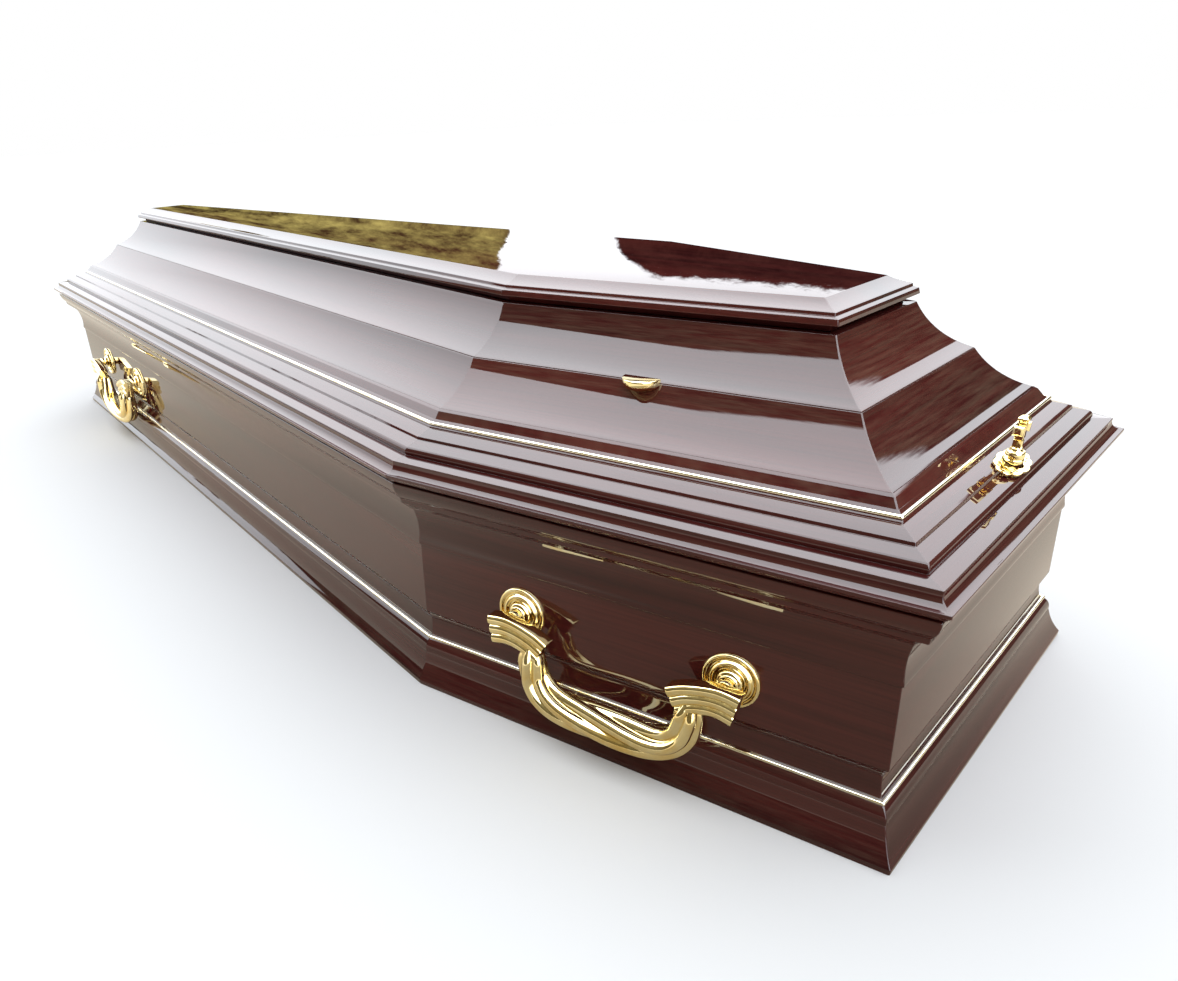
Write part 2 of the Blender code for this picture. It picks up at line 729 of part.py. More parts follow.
# Lid knobs: half-round cast knobs, flat on top, seated on the lower cove below the joint
def knob(name, index):
    frame, span = side_frame(index)
    inner = plan_corners(COVE_EDGE[0] + JOINT_GAP)
    middle = (inner[index] + inner[(index + 1) % 6]) / 2
    rim_foot = KNOB_TOP_ABOVE_EDGE - KNOB_RIM_HEIGHT
    section = [
        (0.0, KNOB_TOP_ABOVE_EDGE),
        (KNOB_RADIUS - KNOB_TOP_EASE, KNOB_TOP_ABOVE_EDGE),
        (KNOB_RADIUS, KNOB_TOP_ABOVE_EDGE - KNOB_TOP_EASE),
    ]
    for step in range(6):
        angle = math.radians(90.0 * step / 5)
        fall = (KNOB_DEPTH - KNOB_RIM_HEIGHT) * math.sin(angle)
        section.append((KNOB_RADIUS * math.cos(angle), rim_foot - fall))
    section[-1] = (0.0, section[-1][1])
    item = turned(name, section, 24, PART)
    turn = frame.copy()
    turn.translation = Vector((middle.x, middle.y, COVE_EDGE[1]))
    item.matrix_world = turn @ Matrix.Rotation(math.radians(-90.0), 4, "X")
    cove = arc(LOWER_COVE_FOOT, COVE_EDGE, -LOWER_COVE_SAG, 24)
    seat = min(cove, key=lambda point: abs(COVE_EDGE[1] - KNOB_DEPTH - point[1]))
    seat_out = seat[0] - COVE_EDGE[0]
    seat_z = seat[1] - COVE_EDGE[1]
    reach = KNOB_CUT_REACH
    cut_ring = [
        (-reach, reach),
        (-reach, -reach),
        (seat_out, -reach),
        (seat_out, seat_z),
        (0.0, 0.0),
        (0.0, reach),
    ]
    shape = curve_shape("knob_cut", [cut_ring], reach)
    block = mesh_from_curve(name + "_cut", shape, turn, CUTTERS)
    hide_cutter(block)
    boolean(item, block, "DIFFERENCE")
    finish(item, GILT, 0.18, 1.0)


# Lid screws at head and foot: a pierced plate and a screw whose head carries a small cross
def pierced_plate(name, sign):
    rings = []
    outline = []
    for step in range(6 * PLATE_SCALLOPS):
        angle = math.tau * step / (6 * PLATE_SCALLOPS)
        swell = 1 - PLATE_SCALLOP_DEPTH * abs(math.sin(PLATE_SCALLOPS * angle / 2))
        outline.append((
            PLATE_HALF_WIDTH * swell * math.cos(angle),
            PLATE_HALF_LENGTH * swell * math.sin(angle),
        ))
    rings.append(outline)
    hole = SCREW_HEAD_RADIUS + SCREW_HOLE_CLEARANCE
    rings.append([
        (hole * math.cos(math.tau * step / 20), hole * math.sin(math.tau * step / 20))
        for step in range(20)
    ])
    piercings = (
        (0.0, PLATE_END_HOLE_ALONG, PLATE_END_HOLE_RADIUS),
        (PLATE_SIDE_HOLE_ACROSS, PLATE_SIDE_HOLE_ALONG, PLATE_SIDE_HOLE_RADIUS),
        (-PLATE_SIDE_HOLE_ACROSS, PLATE_SIDE_HOLE_ALONG, PLATE_SIDE_HOLE_RADIUS),
    )
    for end in (1, -1):
        for across, along, radius in piercings:
            rings.append([
                (
                    across + radius * math.cos(math.tau * step / 8),
                    end * along + radius * math.sin(math.tau * step / 8),
                )
                for step in range(8)
            ])
    shape = curve_shape(name, rings, PLATE_THICKNESS / 2)
    rise = math.atan2(UPPER_BAND_END[1] - OVOLO_TOP[1], OVOLO_TOP[0] - UPPER_BAND_END[0])
    seat = OVOLO_TOP[1] + (OVOLO_TOP[0] - SCREW_OUT) * math.tan(rise)
    lift = seat + (PLATE_CLEARANCE + PLATE_THICKNESS / 2) / math.cos(rise)
    frame = Matrix.Translation((sign * (LENGTH / 2 + SCREW_OUT), 0.0, lift))
    frame = frame @ Matrix.Rotation(sign * rise, 4, "Y")
    plate = mesh_from_curve(name, shape, frame, PART)
    finish(plate, GILT, 0.2, 1.0)


def cross_screw(name, sign):
    section = [
        (0.0, CROSS_TOP_Z),
        (CROSS_END_RADIUS * CROSS_CAP_SHARE, CROSS_TOP_Z - CROSS_CAP_BEVEL),
        (CROSS_END_RADIUS, CROSS_TOP_Z - CROSS_CAP_LENGTH),
        (STEM_RADIUS, CROSS_TOP_Z - CROSS_NECK_LENGTH),
        (STEM_RADIUS, SCREW_HEAD_HEIGHT + STEM_FLARE_RISE),
        (STEM_RADIUS * STEM_FOOT_SHARE, SCREW_HEAD_HEIGHT + STEM_FOOT_RISE),
        (SCREW_HEAD_RADIUS * SCREW_DOME_SHARE, SCREW_HEAD_HEIGHT - SCREW_DOME_DROP),
        (SCREW_HEAD_RADIUS * SCREW_SHOULDER_SHARE, SCREW_HEAD_HEIGHT - SCREW_SHOULDER_DROP),
        (SCREW_HEAD_RADIUS, SCREW_HEAD_HEIGHT - SCREW_SIDE_DROP),
        (SCREW_HEAD_RADIUS, 0.0),
        (0.0, 0.0),
    ]
    item = turned(name, section, 18, PART)
    slope = (UPPER_BAND_END[1] - BAND_STEP[1]) / (BAND_STEP[0] - UPPER_BAND_END[0])
    high_edge = SCREW_OUT - SCREW_HEAD_RADIUS
    seat = BAND_STEP[1] + max(0.0, BAND_STEP[0] - high_edge) * slope + JOINT_GAP
    spot = Matrix.Translation((sign * (LENGTH / 2 + SCREW_OUT), 0.0, seat))
    item.matrix_world = spot
    half_arm = [
        (0.0, CROSS_HALF_SPAN),
        (CROSS_END_RADIUS * CROSS_CAP_SHARE, CROSS_HALF_SPAN - CROSS_CAP_BEVEL),
        (CROSS_END_RADIUS, CROSS_HALF_SPAN - CROSS_CAP_LENGTH),
        (CROSS_ARM_RADIUS, CROSS_HALF_SPAN - CROSS_NECK_LENGTH),
    ]
    other_arm = [(radius, -reach) for radius, reach in reversed(half_arm)]
    arms = turned(name + "_arms", half_arm + other_arm, 14, CUTTERS)
    hide_cutter(arms)
    raised = Matrix.Translation((0.0, 0.0, CROSS_ARM_Z))
    arms.matrix_world = spot @ raised @ Matrix.Rotation(math.radians(90.0), 4, "X")
    boolean(item, arms, "UNION")
    finish(item, GILT, 0.18, 1.0)


bottom_board()
mitred_lengths("wall", wall_profile(), WOOD, 0.12)
mitred_lengths("plinth", plinth_profile(), WOOD, 0.12)
mitred_lengths("crown", crown_profile(), WOOD, 0.12)
mitred_lengths("lid_flange", flange_profile(), WOOD, 0.12)
gilt_bead("lid_gilt_bead", BEAD_SEAT_FOOT, BEAD_SEAT_TOP)
gilt_bead("plinth_gilt_bead", PLINTH_SWELL_TOP, FASCIA_FOOT)
mitred_lengths("lid_lower_cove", lower_cove_profile(), WOOD, 0.12)
mitred_lengths("lid_upper_cove", upper_cove_profile(), WOOD, 0.12)
top_plate()
handles()
knob("lid_knob_left", 0)
knob("lid_knob_right", 4)
pierced_plate("screw_plate_head", 1)
pierced_plate("screw_plate_foot", -1)
cross_screw("cross_screw_head", 1)
cross_screw("cross_screw_foot", -1)
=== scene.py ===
import math

import bmesh
import bpy
from mathutils import Matrix, Vector


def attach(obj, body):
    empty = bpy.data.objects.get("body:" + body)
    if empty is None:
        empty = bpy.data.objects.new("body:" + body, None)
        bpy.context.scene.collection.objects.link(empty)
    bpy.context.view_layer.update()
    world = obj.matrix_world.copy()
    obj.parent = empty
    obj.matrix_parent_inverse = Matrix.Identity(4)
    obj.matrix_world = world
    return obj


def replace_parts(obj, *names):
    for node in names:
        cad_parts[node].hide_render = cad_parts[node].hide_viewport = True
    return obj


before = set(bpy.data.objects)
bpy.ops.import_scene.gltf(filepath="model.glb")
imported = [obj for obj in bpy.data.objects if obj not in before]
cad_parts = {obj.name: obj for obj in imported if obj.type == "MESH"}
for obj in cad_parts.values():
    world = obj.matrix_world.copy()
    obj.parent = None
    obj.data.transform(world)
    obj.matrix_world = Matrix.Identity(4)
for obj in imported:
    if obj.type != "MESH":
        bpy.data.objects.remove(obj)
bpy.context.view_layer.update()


# Camera: close to the head end and above it, on the coffin's left-hand side, with a wide lens.
# Its place and aim were worked out from the mitred corners of the coffin itself.
IMAGE_WIDTH = 1178
IMAGE_HEIGHT = 981
FOCAL_PIXELS = 757.4
AXIS_PIXEL_X = 583.0
AXIS_PIXEL_Y = 571.8
CAMERA_PLACE = (1.1113, -0.6855, 0.5549)
CAMERA_HEADING = math.radians(134.9)
CAMERA_PITCH = math.radians(-31.25)
CAMERA_ROLL = math.radians(-2.4)


def placed(name, data):
    item = bpy.data.objects.new(name, data)
    bpy.context.scene.collection.objects.link(item)
    return item


aim = Vector((
    math.cos(CAMERA_PITCH) * math.cos(CAMERA_HEADING),
    math.cos(CAMERA_PITCH) * math.sin(CAMERA_HEADING),
    math.sin(CAMERA_PITCH),
))
level_right = aim.cross(Vector((0.0, 0.0, 1.0))).normalized()
level_up = level_right.cross(aim)
camera_right = level_right * math.cos(CAMERA_ROLL) + level_up * math.sin(CAMERA_ROLL)
camera_up = level_up * math.cos(CAMERA_ROLL) - level_right * math.sin(CAMERA_ROLL)
camera_data = bpy.data.cameras.new("camera")
camera_data.sensor_width = 36.0
camera_data.lens = 36.0 * FOCAL_PIXELS / IMAGE_WIDTH
camera_data.shift_x = (IMAGE_WIDTH / 2 - AXIS_PIXEL_X) / IMAGE_WIDTH
camera_data.shift_y = (AXIS_PIXEL_Y - IMAGE_HEIGHT / 2) / IMAGE_WIDTH
camera_data.clip_start = 0.02
camera = placed("camera", camera_data)
camera_turn = Matrix((camera_right, camera_up, -aim)).transposed().to_4x4()
camera.matrix_world = Matrix.Translation(CAMERA_PLACE) @ camera_turn
bpy.context.scene.camera = camera
bpy.context.scene.view_settings.view_transform = "Standard"


# Floor and light: a wide pale floor under a soft bright dome, with dark screens round its foot.
# Gloss mirrors that dome, so its bright and dark areas are placed for the coffin's mouldings.
FLOOR_HALF = 30.0
FLOOR_COLOUR = (0.93, 0.925, 0.92, 1.0)
FLOOR_MIRRORED_COLOUR = (0.98, 0.87, 0.70, 1.0)
# Painted shadow: the floor's tone inside a disc near the camera's side, seen only in reflections
FLOOR_SHADED_COLOUR = (0.40, 0.34, 0.25, 1.0)
FLOOR_SHADE_CENTRE = (1.10, -0.85, 0.0)
FLOOR_SHADE_CORE = 0.45
FLOOR_SHADE_REACH = 1.10
BACKDROP_COLOUR = (1.0, 1.0, 1.0, 1.0)
DOME_COLOUR = (0.92, 0.96, 1.0, 1.0)
DOME_LOW_SINE = 0.25
DOME_LOW_STRENGTH = 2.7
DOME_HIGH_SINE = 0.80
DOME_HIGH_STRENGTH = 6.9
DOME_SOFT_SHARE = 0.27
SCREEN_SOFTNESS = 0.012
LEAF_SCALE = 24.0
LEAF_DETAIL = 10.0
LEAF_ROUGHNESS = 0.72
LEAF_CONTRAST = 8.0
LEAF_DARKEST = 0.15
SCREEN_DARK = (0.060, 0.052, 0.034, 1.0)
SCREEN_DEEP = (0.012, 0.004, 0.003, 1.0)
SCREEN_OLIVE = (0.120, 0.100, 0.030, 1.0)
# Each screen: heading, half width at its foot and at its full height, height, all as angles,
# then how ragged its edge is and its colour
SCREENS = (
    (-98.0, 57.0, 25.0, 59.5, 0.03, SCREEN_DARK),
    (45.0, 46.0, 40.0, 27.5, 0.05, SCREEN_DARK),
    (117.0, 17.0, 11.0, 11.5, 0.12, SCREEN_DEEP),
    (152.0, 14.5, 10.0, 15.0, 0.20, SCREEN_OLIVE),
)


# One node: its options by name, then a number or a link for each socket named
def add_node(tree, kind, values=None, **options):
    node = tree.nodes.new(kind)
    for name, option in options.items():
        setattr(node, name, option)
    for socket, value in (values or {}).items():
        if isinstance(value, bpy.types.NodeSocket):
            tree.links.new(value, node.inputs[socket])
        else:
            node.inputs[socket].default_value = value
    return node


def number(tree, operation, *values):
    return add_node(tree, "ShaderNodeMath", dict(enumerate(values)), operation=operation).outputs[0]


def vector(tree, operation, values):
    node = add_node(tree, "ShaderNodeVectorMath", values, operation=operation)
    return node.outputs["Value" if operation in ("DOT_PRODUCT", "DISTANCE") else "Vector"]


def ramp(tree, value, low, high, to_low=0.0, to_high=1.0, kind="LINEAR"):
    values = {"Value": value, "From Min": low, "From Max": high, "To Min": to_low, "To Max": to_high}
    return add_node(tree, "ShaderNodeMapRange", values, interpolation_type=kind).outputs["Result"]


def blend(tree, share, first, second):
    values = {0: share, 6: first, 7: second}
    return add_node(tree, "ShaderNodeMix", values, data_type="RGBA").outputs[2]


floor_mesh = bpy.data.meshes.new("floor")
floor_mesh.from_pydata(
    [(x * FLOOR_HALF, y * FLOOR_HALF, 0.0) for x, y in ((-1, -1), (1, -1), (1, 1), (-1, 1))],
    [],
    [(0, 1, 2, 3)],
)
floor = placed("floor", floor_mesh)
# Seen directly the floor is evenly pale. In reflections it is warmer, and a darker disc near the
# camera's side is painted shade, which the near walls and handles mirror.
floor_paint = bpy.data.materials.new("pale_floor")
floor_paint.use_nodes = True
paint = floor_paint.node_tree
paint.nodes.clear()
spot = add_node(paint, "ShaderNodeTexCoord").outputs["Object"]
away = vector(paint, "DISTANCE", {0: spot, 1: FLOOR_SHADE_CENTRE})
shade = ramp(paint, away, FLOOR_SHADE_CORE, FLOOR_SHADE_REACH, kind="SMOOTHSTEP")
tone = blend(paint, shade, FLOOR_SHADED_COLOUR, FLOOR_MIRRORED_COLOUR)
seen = add_node(paint, "ShaderNodeBsdfDiffuse", {"Color": FLOOR_COLOUR}).outputs[0]
mirrored = add_node(paint, "ShaderNodeBsdfDiffuse", {"Color": tone}).outputs[0]
seen_directly = add_node(paint, "ShaderNodeLightPath").outputs["Is Camera Ray"]
choice = add_node(paint, "ShaderNodeMixShader", {0: seen_directly, 1: mirrored, 2: seen}).outputs[0]
add_node(paint, "ShaderNodeOutputMaterial", {"Surface": choice})
floor_mesh.materials.append(floor_paint)

world = bpy.data.worlds.new("studio_dome")
world.use_nodes = True
bpy.context.scene.world = world
dome = world.node_tree
dome.nodes.clear()
direction = add_node(dome, "ShaderNodeTexCoord").outputs["Generated"]
split = add_node(dome, "ShaderNodeSeparateXYZ", {0: direction}).outputs
level = add_node(dome, "ShaderNodeCombineXYZ", {"X": split["X"], "Y": split["Y"]}).outputs[0]
level = vector(dome, "NORMALIZE", {0: level})
ragged = add_node(dome, "ShaderNodeTexNoise", {
    "Vector": direction, "Scale": LEAF_SCALE, "Detail": LEAF_DETAIL, "Roughness": LEAF_ROUGHNESS,
}).outputs["Fac"]
leaf_light = number(dome, "MULTIPLY_ADD", ragged, LEAF_CONTRAST, 1.0 - LEAF_CONTRAST / 2)
leaf_light = number(dome, "MAXIMUM", leaf_light, LEAF_DARKEST)
sky = DOME_COLOUR
for heading, foot_half, top_half, height, ragged_share, screen_colour in SCREENS:
    turn = math.radians(heading)
    toward = vector(dome, "DOT_PRODUCT", {0: level, 1: (math.cos(turn), math.sin(turn), 0.0)})
    outer, inner = (math.cos(math.radians(half)) for half in (foot_half, top_half))
    rise = ramp(dome, toward, outer, inner, 0.0, math.sin(math.radians(height)), "SMOOTHSTEP")
    uneven = number(dome, "MULTIPLY_ADD", ragged, ragged_share, -ragged_share / 2)
    above = number(dome, "SUBTRACT", number(dome, "ADD", split["Z"], uneven), rise)
    open_dome = ramp(dome, above, -SCREEN_SOFTNESS, SCREEN_SOFTNESS, kind="SMOOTHSTEP")
    lit_screen = vector(dome, "SCALE", {0: screen_colour[:3], "Scale": leaf_light})
    sky = blend(dome, open_dome, lit_screen, sky)
strength = ramp(
    dome, split["Z"], DOME_LOW_SINE, DOME_HIGH_SINE, DOME_LOW_STRENGTH, DOME_HIGH_STRENGTH
)
ray = add_node(dome, "ShaderNodeLightPath").outputs
soft_ray = number(dome, "SUBTRACT", 1.0, ray["Is Glossy Ray"])
ray_share = number(dome, "MULTIPLY_ADD", soft_ray, DOME_SOFT_SHARE - 1.0, 1.0)
light = add_node(dome, "ShaderNodeBackground", {
    "Color": sky, "Strength": number(dome, "MULTIPLY", strength, ray_share),
}).outputs[0]
backdrop = add_node(dome, "ShaderNodeBackground", {"Color": BACKDROP_COLOUR}).outputs[0]
choice = add_node(dome, "ShaderNodeMixShader", {0: ray["Is Camera Ray"], 1: light, 2: backdrop})
add_node(dome, "ShaderNodeOutputWorld", {"Surface": choice.outputs[0]})


# Plinth: a moulded skirt of dark red-brown hardwood, six lengths mitred and glued at the corners.
# Each family of lengths is lacquered after gluing, so one skin runs round all six corners.
LENGTH = 2.0
HEAD_HALF_WIDTH = 0.2265
SHOULDER_HALF_WIDTH = 0.338
FOOT_HALF_WIDTH = 0.226
SHOULDER_FROM_HEAD = 0.506
PLAN_INSET = 0.1
CORNER_EASE = 0.0012
EDGE_EASE = 0.0006
SIDES = ("left_shoulder", "left_side", "foot", "right_side", "right_shoulder", "head")
LEFT_HALF = (
    Vector((LENGTH / 2, -HEAD_HALF_WIDTH)),
    Vector((LENGTH / 2 - SHOULDER_FROM_HEAD, -SHOULDER_HALF_WIDTH)),
    Vector((-LENGTH / 2, -FOOT_HALF_WIDTH)),
)
PLAN = LEFT_HALF + tuple(Vector((corner.x, -corner.y)) for corner in reversed(LEFT_HALF))
LACQUER_DARK = (0.026, 0.0062, 0.0070, 1.0)
LACQUER_MIDDLE = (0.072, 0.0135, 0.0135, 1.0)
LACQUER_LIGHT = (0.150, 0.0270, 0.0220, 1.0)
LACQUER_RIPPLE = (0.10, 0.0015)

PLINTH_BACK_OUT = -0.0397
PLINTH_FOOT = (0.0, 0.0)
PLINTH_FOOT_TOP = (0.0, 0.006)
PLINTH_SLOPE_TOP = (-0.0150, 0.0355)
PLINTH_SWELL_FOOT = (-0.0158, 0.0372)
PLINTH_SWELL_TOP = (-0.0216, 0.0511)
FASCIA_FOOT = (-0.0268, 0.0541)
FASCIA_TOP = (-0.0307, 0.0762)
SLOPE_SAG = 0.0016
PLINTH_SWELL = 0.0018
FASCIA_SAG = 0.0010


# Start of one side of the plan, its direction and the direction out of the coffin
def side_line(index):
    start, end = PLAN[index], PLAN[(index + 1) % 6]
    along = (end - start).normalized()
    return start, along, Vector((-along.y, along.x))


def plan_corners(out):
    corners = []
    for index in range(6):
        start, along, outward = side_line(index - 1)
        other, across, beside = side_line(index)
        gap = other + beside * out - start - outward * out
        cross = along.x * across.y - along.y * across.x
        reach = (gap.x * across.y - gap.y * across.x) / cross
        corners.append(start + outward * out + along * reach)
    return corners


def arc(start, end, sag, steps):
    start, end = Vector(start), Vector(end)
    chord = end - start
    half = chord.length / 2
    radius = (half * half + sag * sag) / (2 * abs(sag))
    sign = 1 if sag > 0 else -1
    side = Vector((chord.y, -chord.x)).normalized() * sign
    centre = (start + end) / 2 - side * (radius - abs(sag))
    turn = 2 * math.asin(min(1.0, half / radius))
    first = start - centre
    return [
        tuple(centre + Matrix.Rotation(sign * turn * step / steps, 2) @ first)
        for step in range(steps + 1)
    ]


# Rounds every sharp corner of a closed section by the small radius that lacquering leaves
def eased(points, ease, steps=3):
    rounded = []
    count = len(points)
    for index in range(count):
        before, here, after = (Vector(points[(index + k) % count]) for k in (-1, 0, 1))
        back, ahead = before - here, after - here
        if back.length < 1e-7 or ahead.length < 1e-7:
            continue
        bend = math.pi - back.angle(ahead)
        if bend < math.radians(16.0):
            rounded.append(tuple(here))
            continue
        reach = min(ease * math.tan(bend / 2), 0.42 * back.length, 0.42 * ahead.length)
        first = here + back.normalized() * reach
        last = here + ahead.normalized() * reach
        for step in range(steps + 1):
            t = step / steps
            spot = first * (1 - t) ** 2 + here * 2 * t * (1 - t) + last * t * t
            rounded.append(tuple(spot))
    return rounded


# Empty group of nodes with named inputs and outputs, each with its kind of socket
def new_group(name, kind, inputs, outputs):
    tree = bpy.data.node_groups.new(name, kind)
    for side, sockets in (("INPUT", inputs), ("OUTPUT", outputs)):
        for label, socket in sockets.items():
            tree.interface.new_socket(label, in_out=side, socket_type="NodeSocket" + socket)
    return tree


def shape_of(tree, given_object):
    return add_node(tree, "GeometryNodeObjectInfo", {"Object": given_object}).outputs["Geometry"]


def finish_rule(tree, geometry, weld, finish):
    for kind, values in (
        ("GeometryNodeMergeByDistance", {"Distance": weld}),
        ("GeometryNodeRealizeInstances", {}),
        ("GeometryNodeSetMaterial", {"Material": finish}),
    ):
        geometry = add_node(tree, kind, {"Geometry": geometry, **values}).outputs["Geometry"]
    add_node(tree, "NodeGroupOutput", {"Geometry": geometry})


# Rule for every family of lengths: one section carried round the plan, with true mitres
def make_mitre_rule():
    tree = new_group("section_round_plan", "GeometryNodeTree", {
        "Section": "Object", "Plan edge": "Object", "Plan inset": "Object",
        "Inset distance": "Float", "Finish": "Material",
    }, {"Geometry": "Geometry"})
    tree.is_modifier = True
    given = tree.nodes.new("NodeGroupInput").outputs
    position = tree.nodes.new("GeometryNodeInputPosition").outputs[0]

    def place_of(geometry, index):
        values = {"Geometry": geometry, "Value": position, "Index": index}
        sample = add_node(tree, "GeometryNodeSampleIndex", values, data_type="FLOAT_VECTOR")
        return sample.outputs["Value"]

    def share_of(across, count):
        return number(tree, "MULTIPLY", number(tree, "ADD", across, 0.5), count)

    def mark(geometry, name, domain, value):
        values = {"Geometry": geometry, "Name": name, "Value": value}
        kind = "GeometryNodeStoreNamedAttribute"
        return add_node(tree, kind, values, data_type="INT", domain=domain).outputs["Geometry"]

    section = shape_of(tree, given["Section"])
    size = add_node(tree, "GeometryNodeAttributeDomainSize", {"Geometry": section})
    count = size.outputs["Point Count"]
    rows = number(tree, "ADD", count, 1.0)
    grid = add_node(tree, "GeometryNodeMeshGrid", {"Vertices X": 7, "Vertices Y": rows})
    where = add_node(tree, "ShaderNodeSeparateXYZ", {0: position}).outputs
    round_share = share_of(where["X"], 6.0)
    corner = number(tree, "MODULO", number(tree, "ROUND", round_share), 6.0)
    station = number(tree, "MODULO", number(tree, "ROUND", share_of(where["Y"], count)), count)
    marked = mark(grid.outputs["Mesh"], "side", "FACE", number(tree, "FLOOR", round_share))
    marked = mark(marked, "corner", "POINT", corner)

    spot = add_node(tree, "ShaderNodeSeparateXYZ", {0: place_of(section, station)}).outputs
    edge = place_of(shape_of(tree, given["Plan edge"]), corner)
    inner = place_of(shape_of(tree, given["Plan inset"]), corner)
    mitre = vector(tree, "SUBTRACT", {0: edge, 1: inner})
    reach = number(tree, "DIVIDE", spot["X"], given["Inset distance"])
    outward = vector(tree, "SCALE", {0: mitre, "Scale": reach})
    lift = add_node(tree, "ShaderNodeCombineXYZ", {"Z": spot["Z"]}).outputs["Vector"]
    flat = vector(tree, "ADD", {0: edge, 1: outward})
    place = vector(tree, "ADD", {0: flat, 1: lift})
    moved = add_node(tree, "GeometryNodeSetPosition", {"Geometry": marked, "Position": place})
    finish_rule(tree, moved.outputs["Geometry"], 0.00001, given["Finish"])
    return tree


mitre_rule = make_mitre_rule()


def run_rule(item, tree, values):
    rule = item.modifiers.new("rule", "NODES")
    rule.node_group = tree
    for socket in tree.interface.items_tree:
        if socket.item_type == "SOCKET" and socket.in_out == "INPUT":
            rule[socket.identifier] = values[socket.name]


# Mesh of an item with its modifiers worked out; all the helpers are taken away
def worked_mesh(item, helpers):
    bpy.context.view_layer.update()
    ready = item.evaluated_get(bpy.context.evaluated_depsgraph_get())
    mesh = bpy.data.meshes.new_from_object(ready)
    for helper in helpers:
        bpy.data.objects.remove(helper, do_unlink=True)
    return mesh


# Every face turned outward, after points closer than the weld distance are made one
def faced_out(mesh, weld=0.0):
    work = bmesh.new()
    work.from_mesh(mesh)
    if weld:
        bmesh.ops.remove_doubles(work, verts=work.verts, dist=weld)
    bmesh.ops.recalc_face_normals(work, faces=work.faces)
    work.to_mesh(mesh)
    work.free()
    return mesh


# Grain runs along each length, so every face carries its place along, out from and up its own board
def lay_grain(mesh, seed):
    side = mesh.attributes.get("side")
    grain = mesh.attributes.new("board", "FLOAT_VECTOR", "CORNER")
    for polygon in mesh.polygons:
        index = side.data[polygon.index].value % 6
        start, along, outward = side_line(index)
        for loop in polygon.loop_indices:
            spot = mesh.vertices[mesh.loops[loop].vertex_index].co
            flat = Vector((spot.x, spot.y)) - start
            grain.data[loop].vector = (
                flat.dot(along) + 3.7 * index + seed,
                flat.dot(outward) + 0.31 * index + seed,
                spot.z + 0.17 * seed,
            )


def ease_mitres(piece):
    ease = piece.modifiers.new("eased_mitres", "BEVEL")
    ease.limit_method = "WEIGHT"
    ease.width = CORNER_EASE
    ease.segments = 3
    ease.use_clamp_overlap = False
    ease.harden_normals = True


def mitred_ring(name, points, finish, seed, ease=EDGE_EASE):
    helpers = []
    for label, spots in (
        ("section", [(out, 0.0, up) for out, up in eased(points, ease)]),
        ("plan_edge", [(c.x, c.y, 0.0) for c in plan_corners(0.0)]),
        ("plan_inset", [(c.x, c.y, 0.0) for c in plan_corners(-PLAN_INSET)]),
        ("carrier", []),
    ):
        mesh = bpy.data.meshes.new(label)
        mesh.from_pydata(spots, [], [])
        helpers.append(placed(label, mesh))
    section, plan_edge, plan_inset, carrier = helpers
    run_rule(carrier, mitre_rule, {
        "Section": section,
        "Plan edge": plan_edge,
        "Plan inset": plan_inset,
        "Inset distance": PLAN_INSET,
        "Finish": finish,
    })
    shape = faced_out(worked_mesh(carrier, helpers))
    work = bmesh.new()
    work.from_mesh(shape)
    corner = work.verts.layers.int["corner"]
    weight = work.edges.layers.float.new("bevel_weight_edge")
    for edge in work.edges:
        if edge.verts[0][corner] == edge.verts[1][corner]:
            edge[weight] = 1.0
    work.to_mesh(shape)
    work.free()
    lay_grain(shape, seed)
    shape.shade_smooth()
    shape.name = name
    piece = placed(name, shape)
    ease_mitres(piece)
    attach(piece, "root")
    return piece


# Grain of the hardwood: long streaks, fine dark pore lines and slow changes of tone
def make_grain():
    group = new_group("hardwood_grain", "ShaderNodeTree", {
        "Place": "Vector", "Streak scale": "Float", "Pore depth": "Float", "Tone change": "Float",
        "Dark": "Color", "Middle": "Color", "Light": "Color",
    }, {"Colour": "Color", "Ripple": "Float"})
    given = group.nodes.new("NodeGroupInput").outputs

    def stretched(size, detail, scale, distortion=0.0):
        mapping = add_node(group, "ShaderNodeMapping", {"Vector": given["Place"], "Scale": size})
        return add_node(group, "ShaderNodeTexNoise", {
            "Vector": mapping.outputs["Vector"],
            "Scale": number(group, "MULTIPLY", given["Streak scale"], scale),
            "Detail": detail,
            "Distortion": distortion,
        }).outputs["Fac"]

    streaks = ramp(group, stretched((0.9, 26.0, 26.0), 5.0, 2.2, 0.5), 0.34, 0.68)
    fine = ramp(group, stretched((3.0, 160.0, 160.0), 4.0, 3.0), 0.42, 0.72)
    tone = ramp(group, stretched((0.8, 3.0, 3.0), 2.0, 1.6), 0.30, 0.70)
    body = blend(group, streaks, given["Dark"], given["Middle"])
    warm = blend(group, number(group, "MULTIPLY", tone, given["Tone change"]), body, given["Light"])
    pores = number(group, "MULTIPLY", fine, given["Pore depth"])
    add_node(group, "NodeGroupOutput", {
        "Colour": blend(group, pores, warm, given["Dark"]),
        "Ripple": stretched((1.4, 9.0, 9.0), 1.0, 3.0),
    })
    return group


hardwood_grain = make_grain()


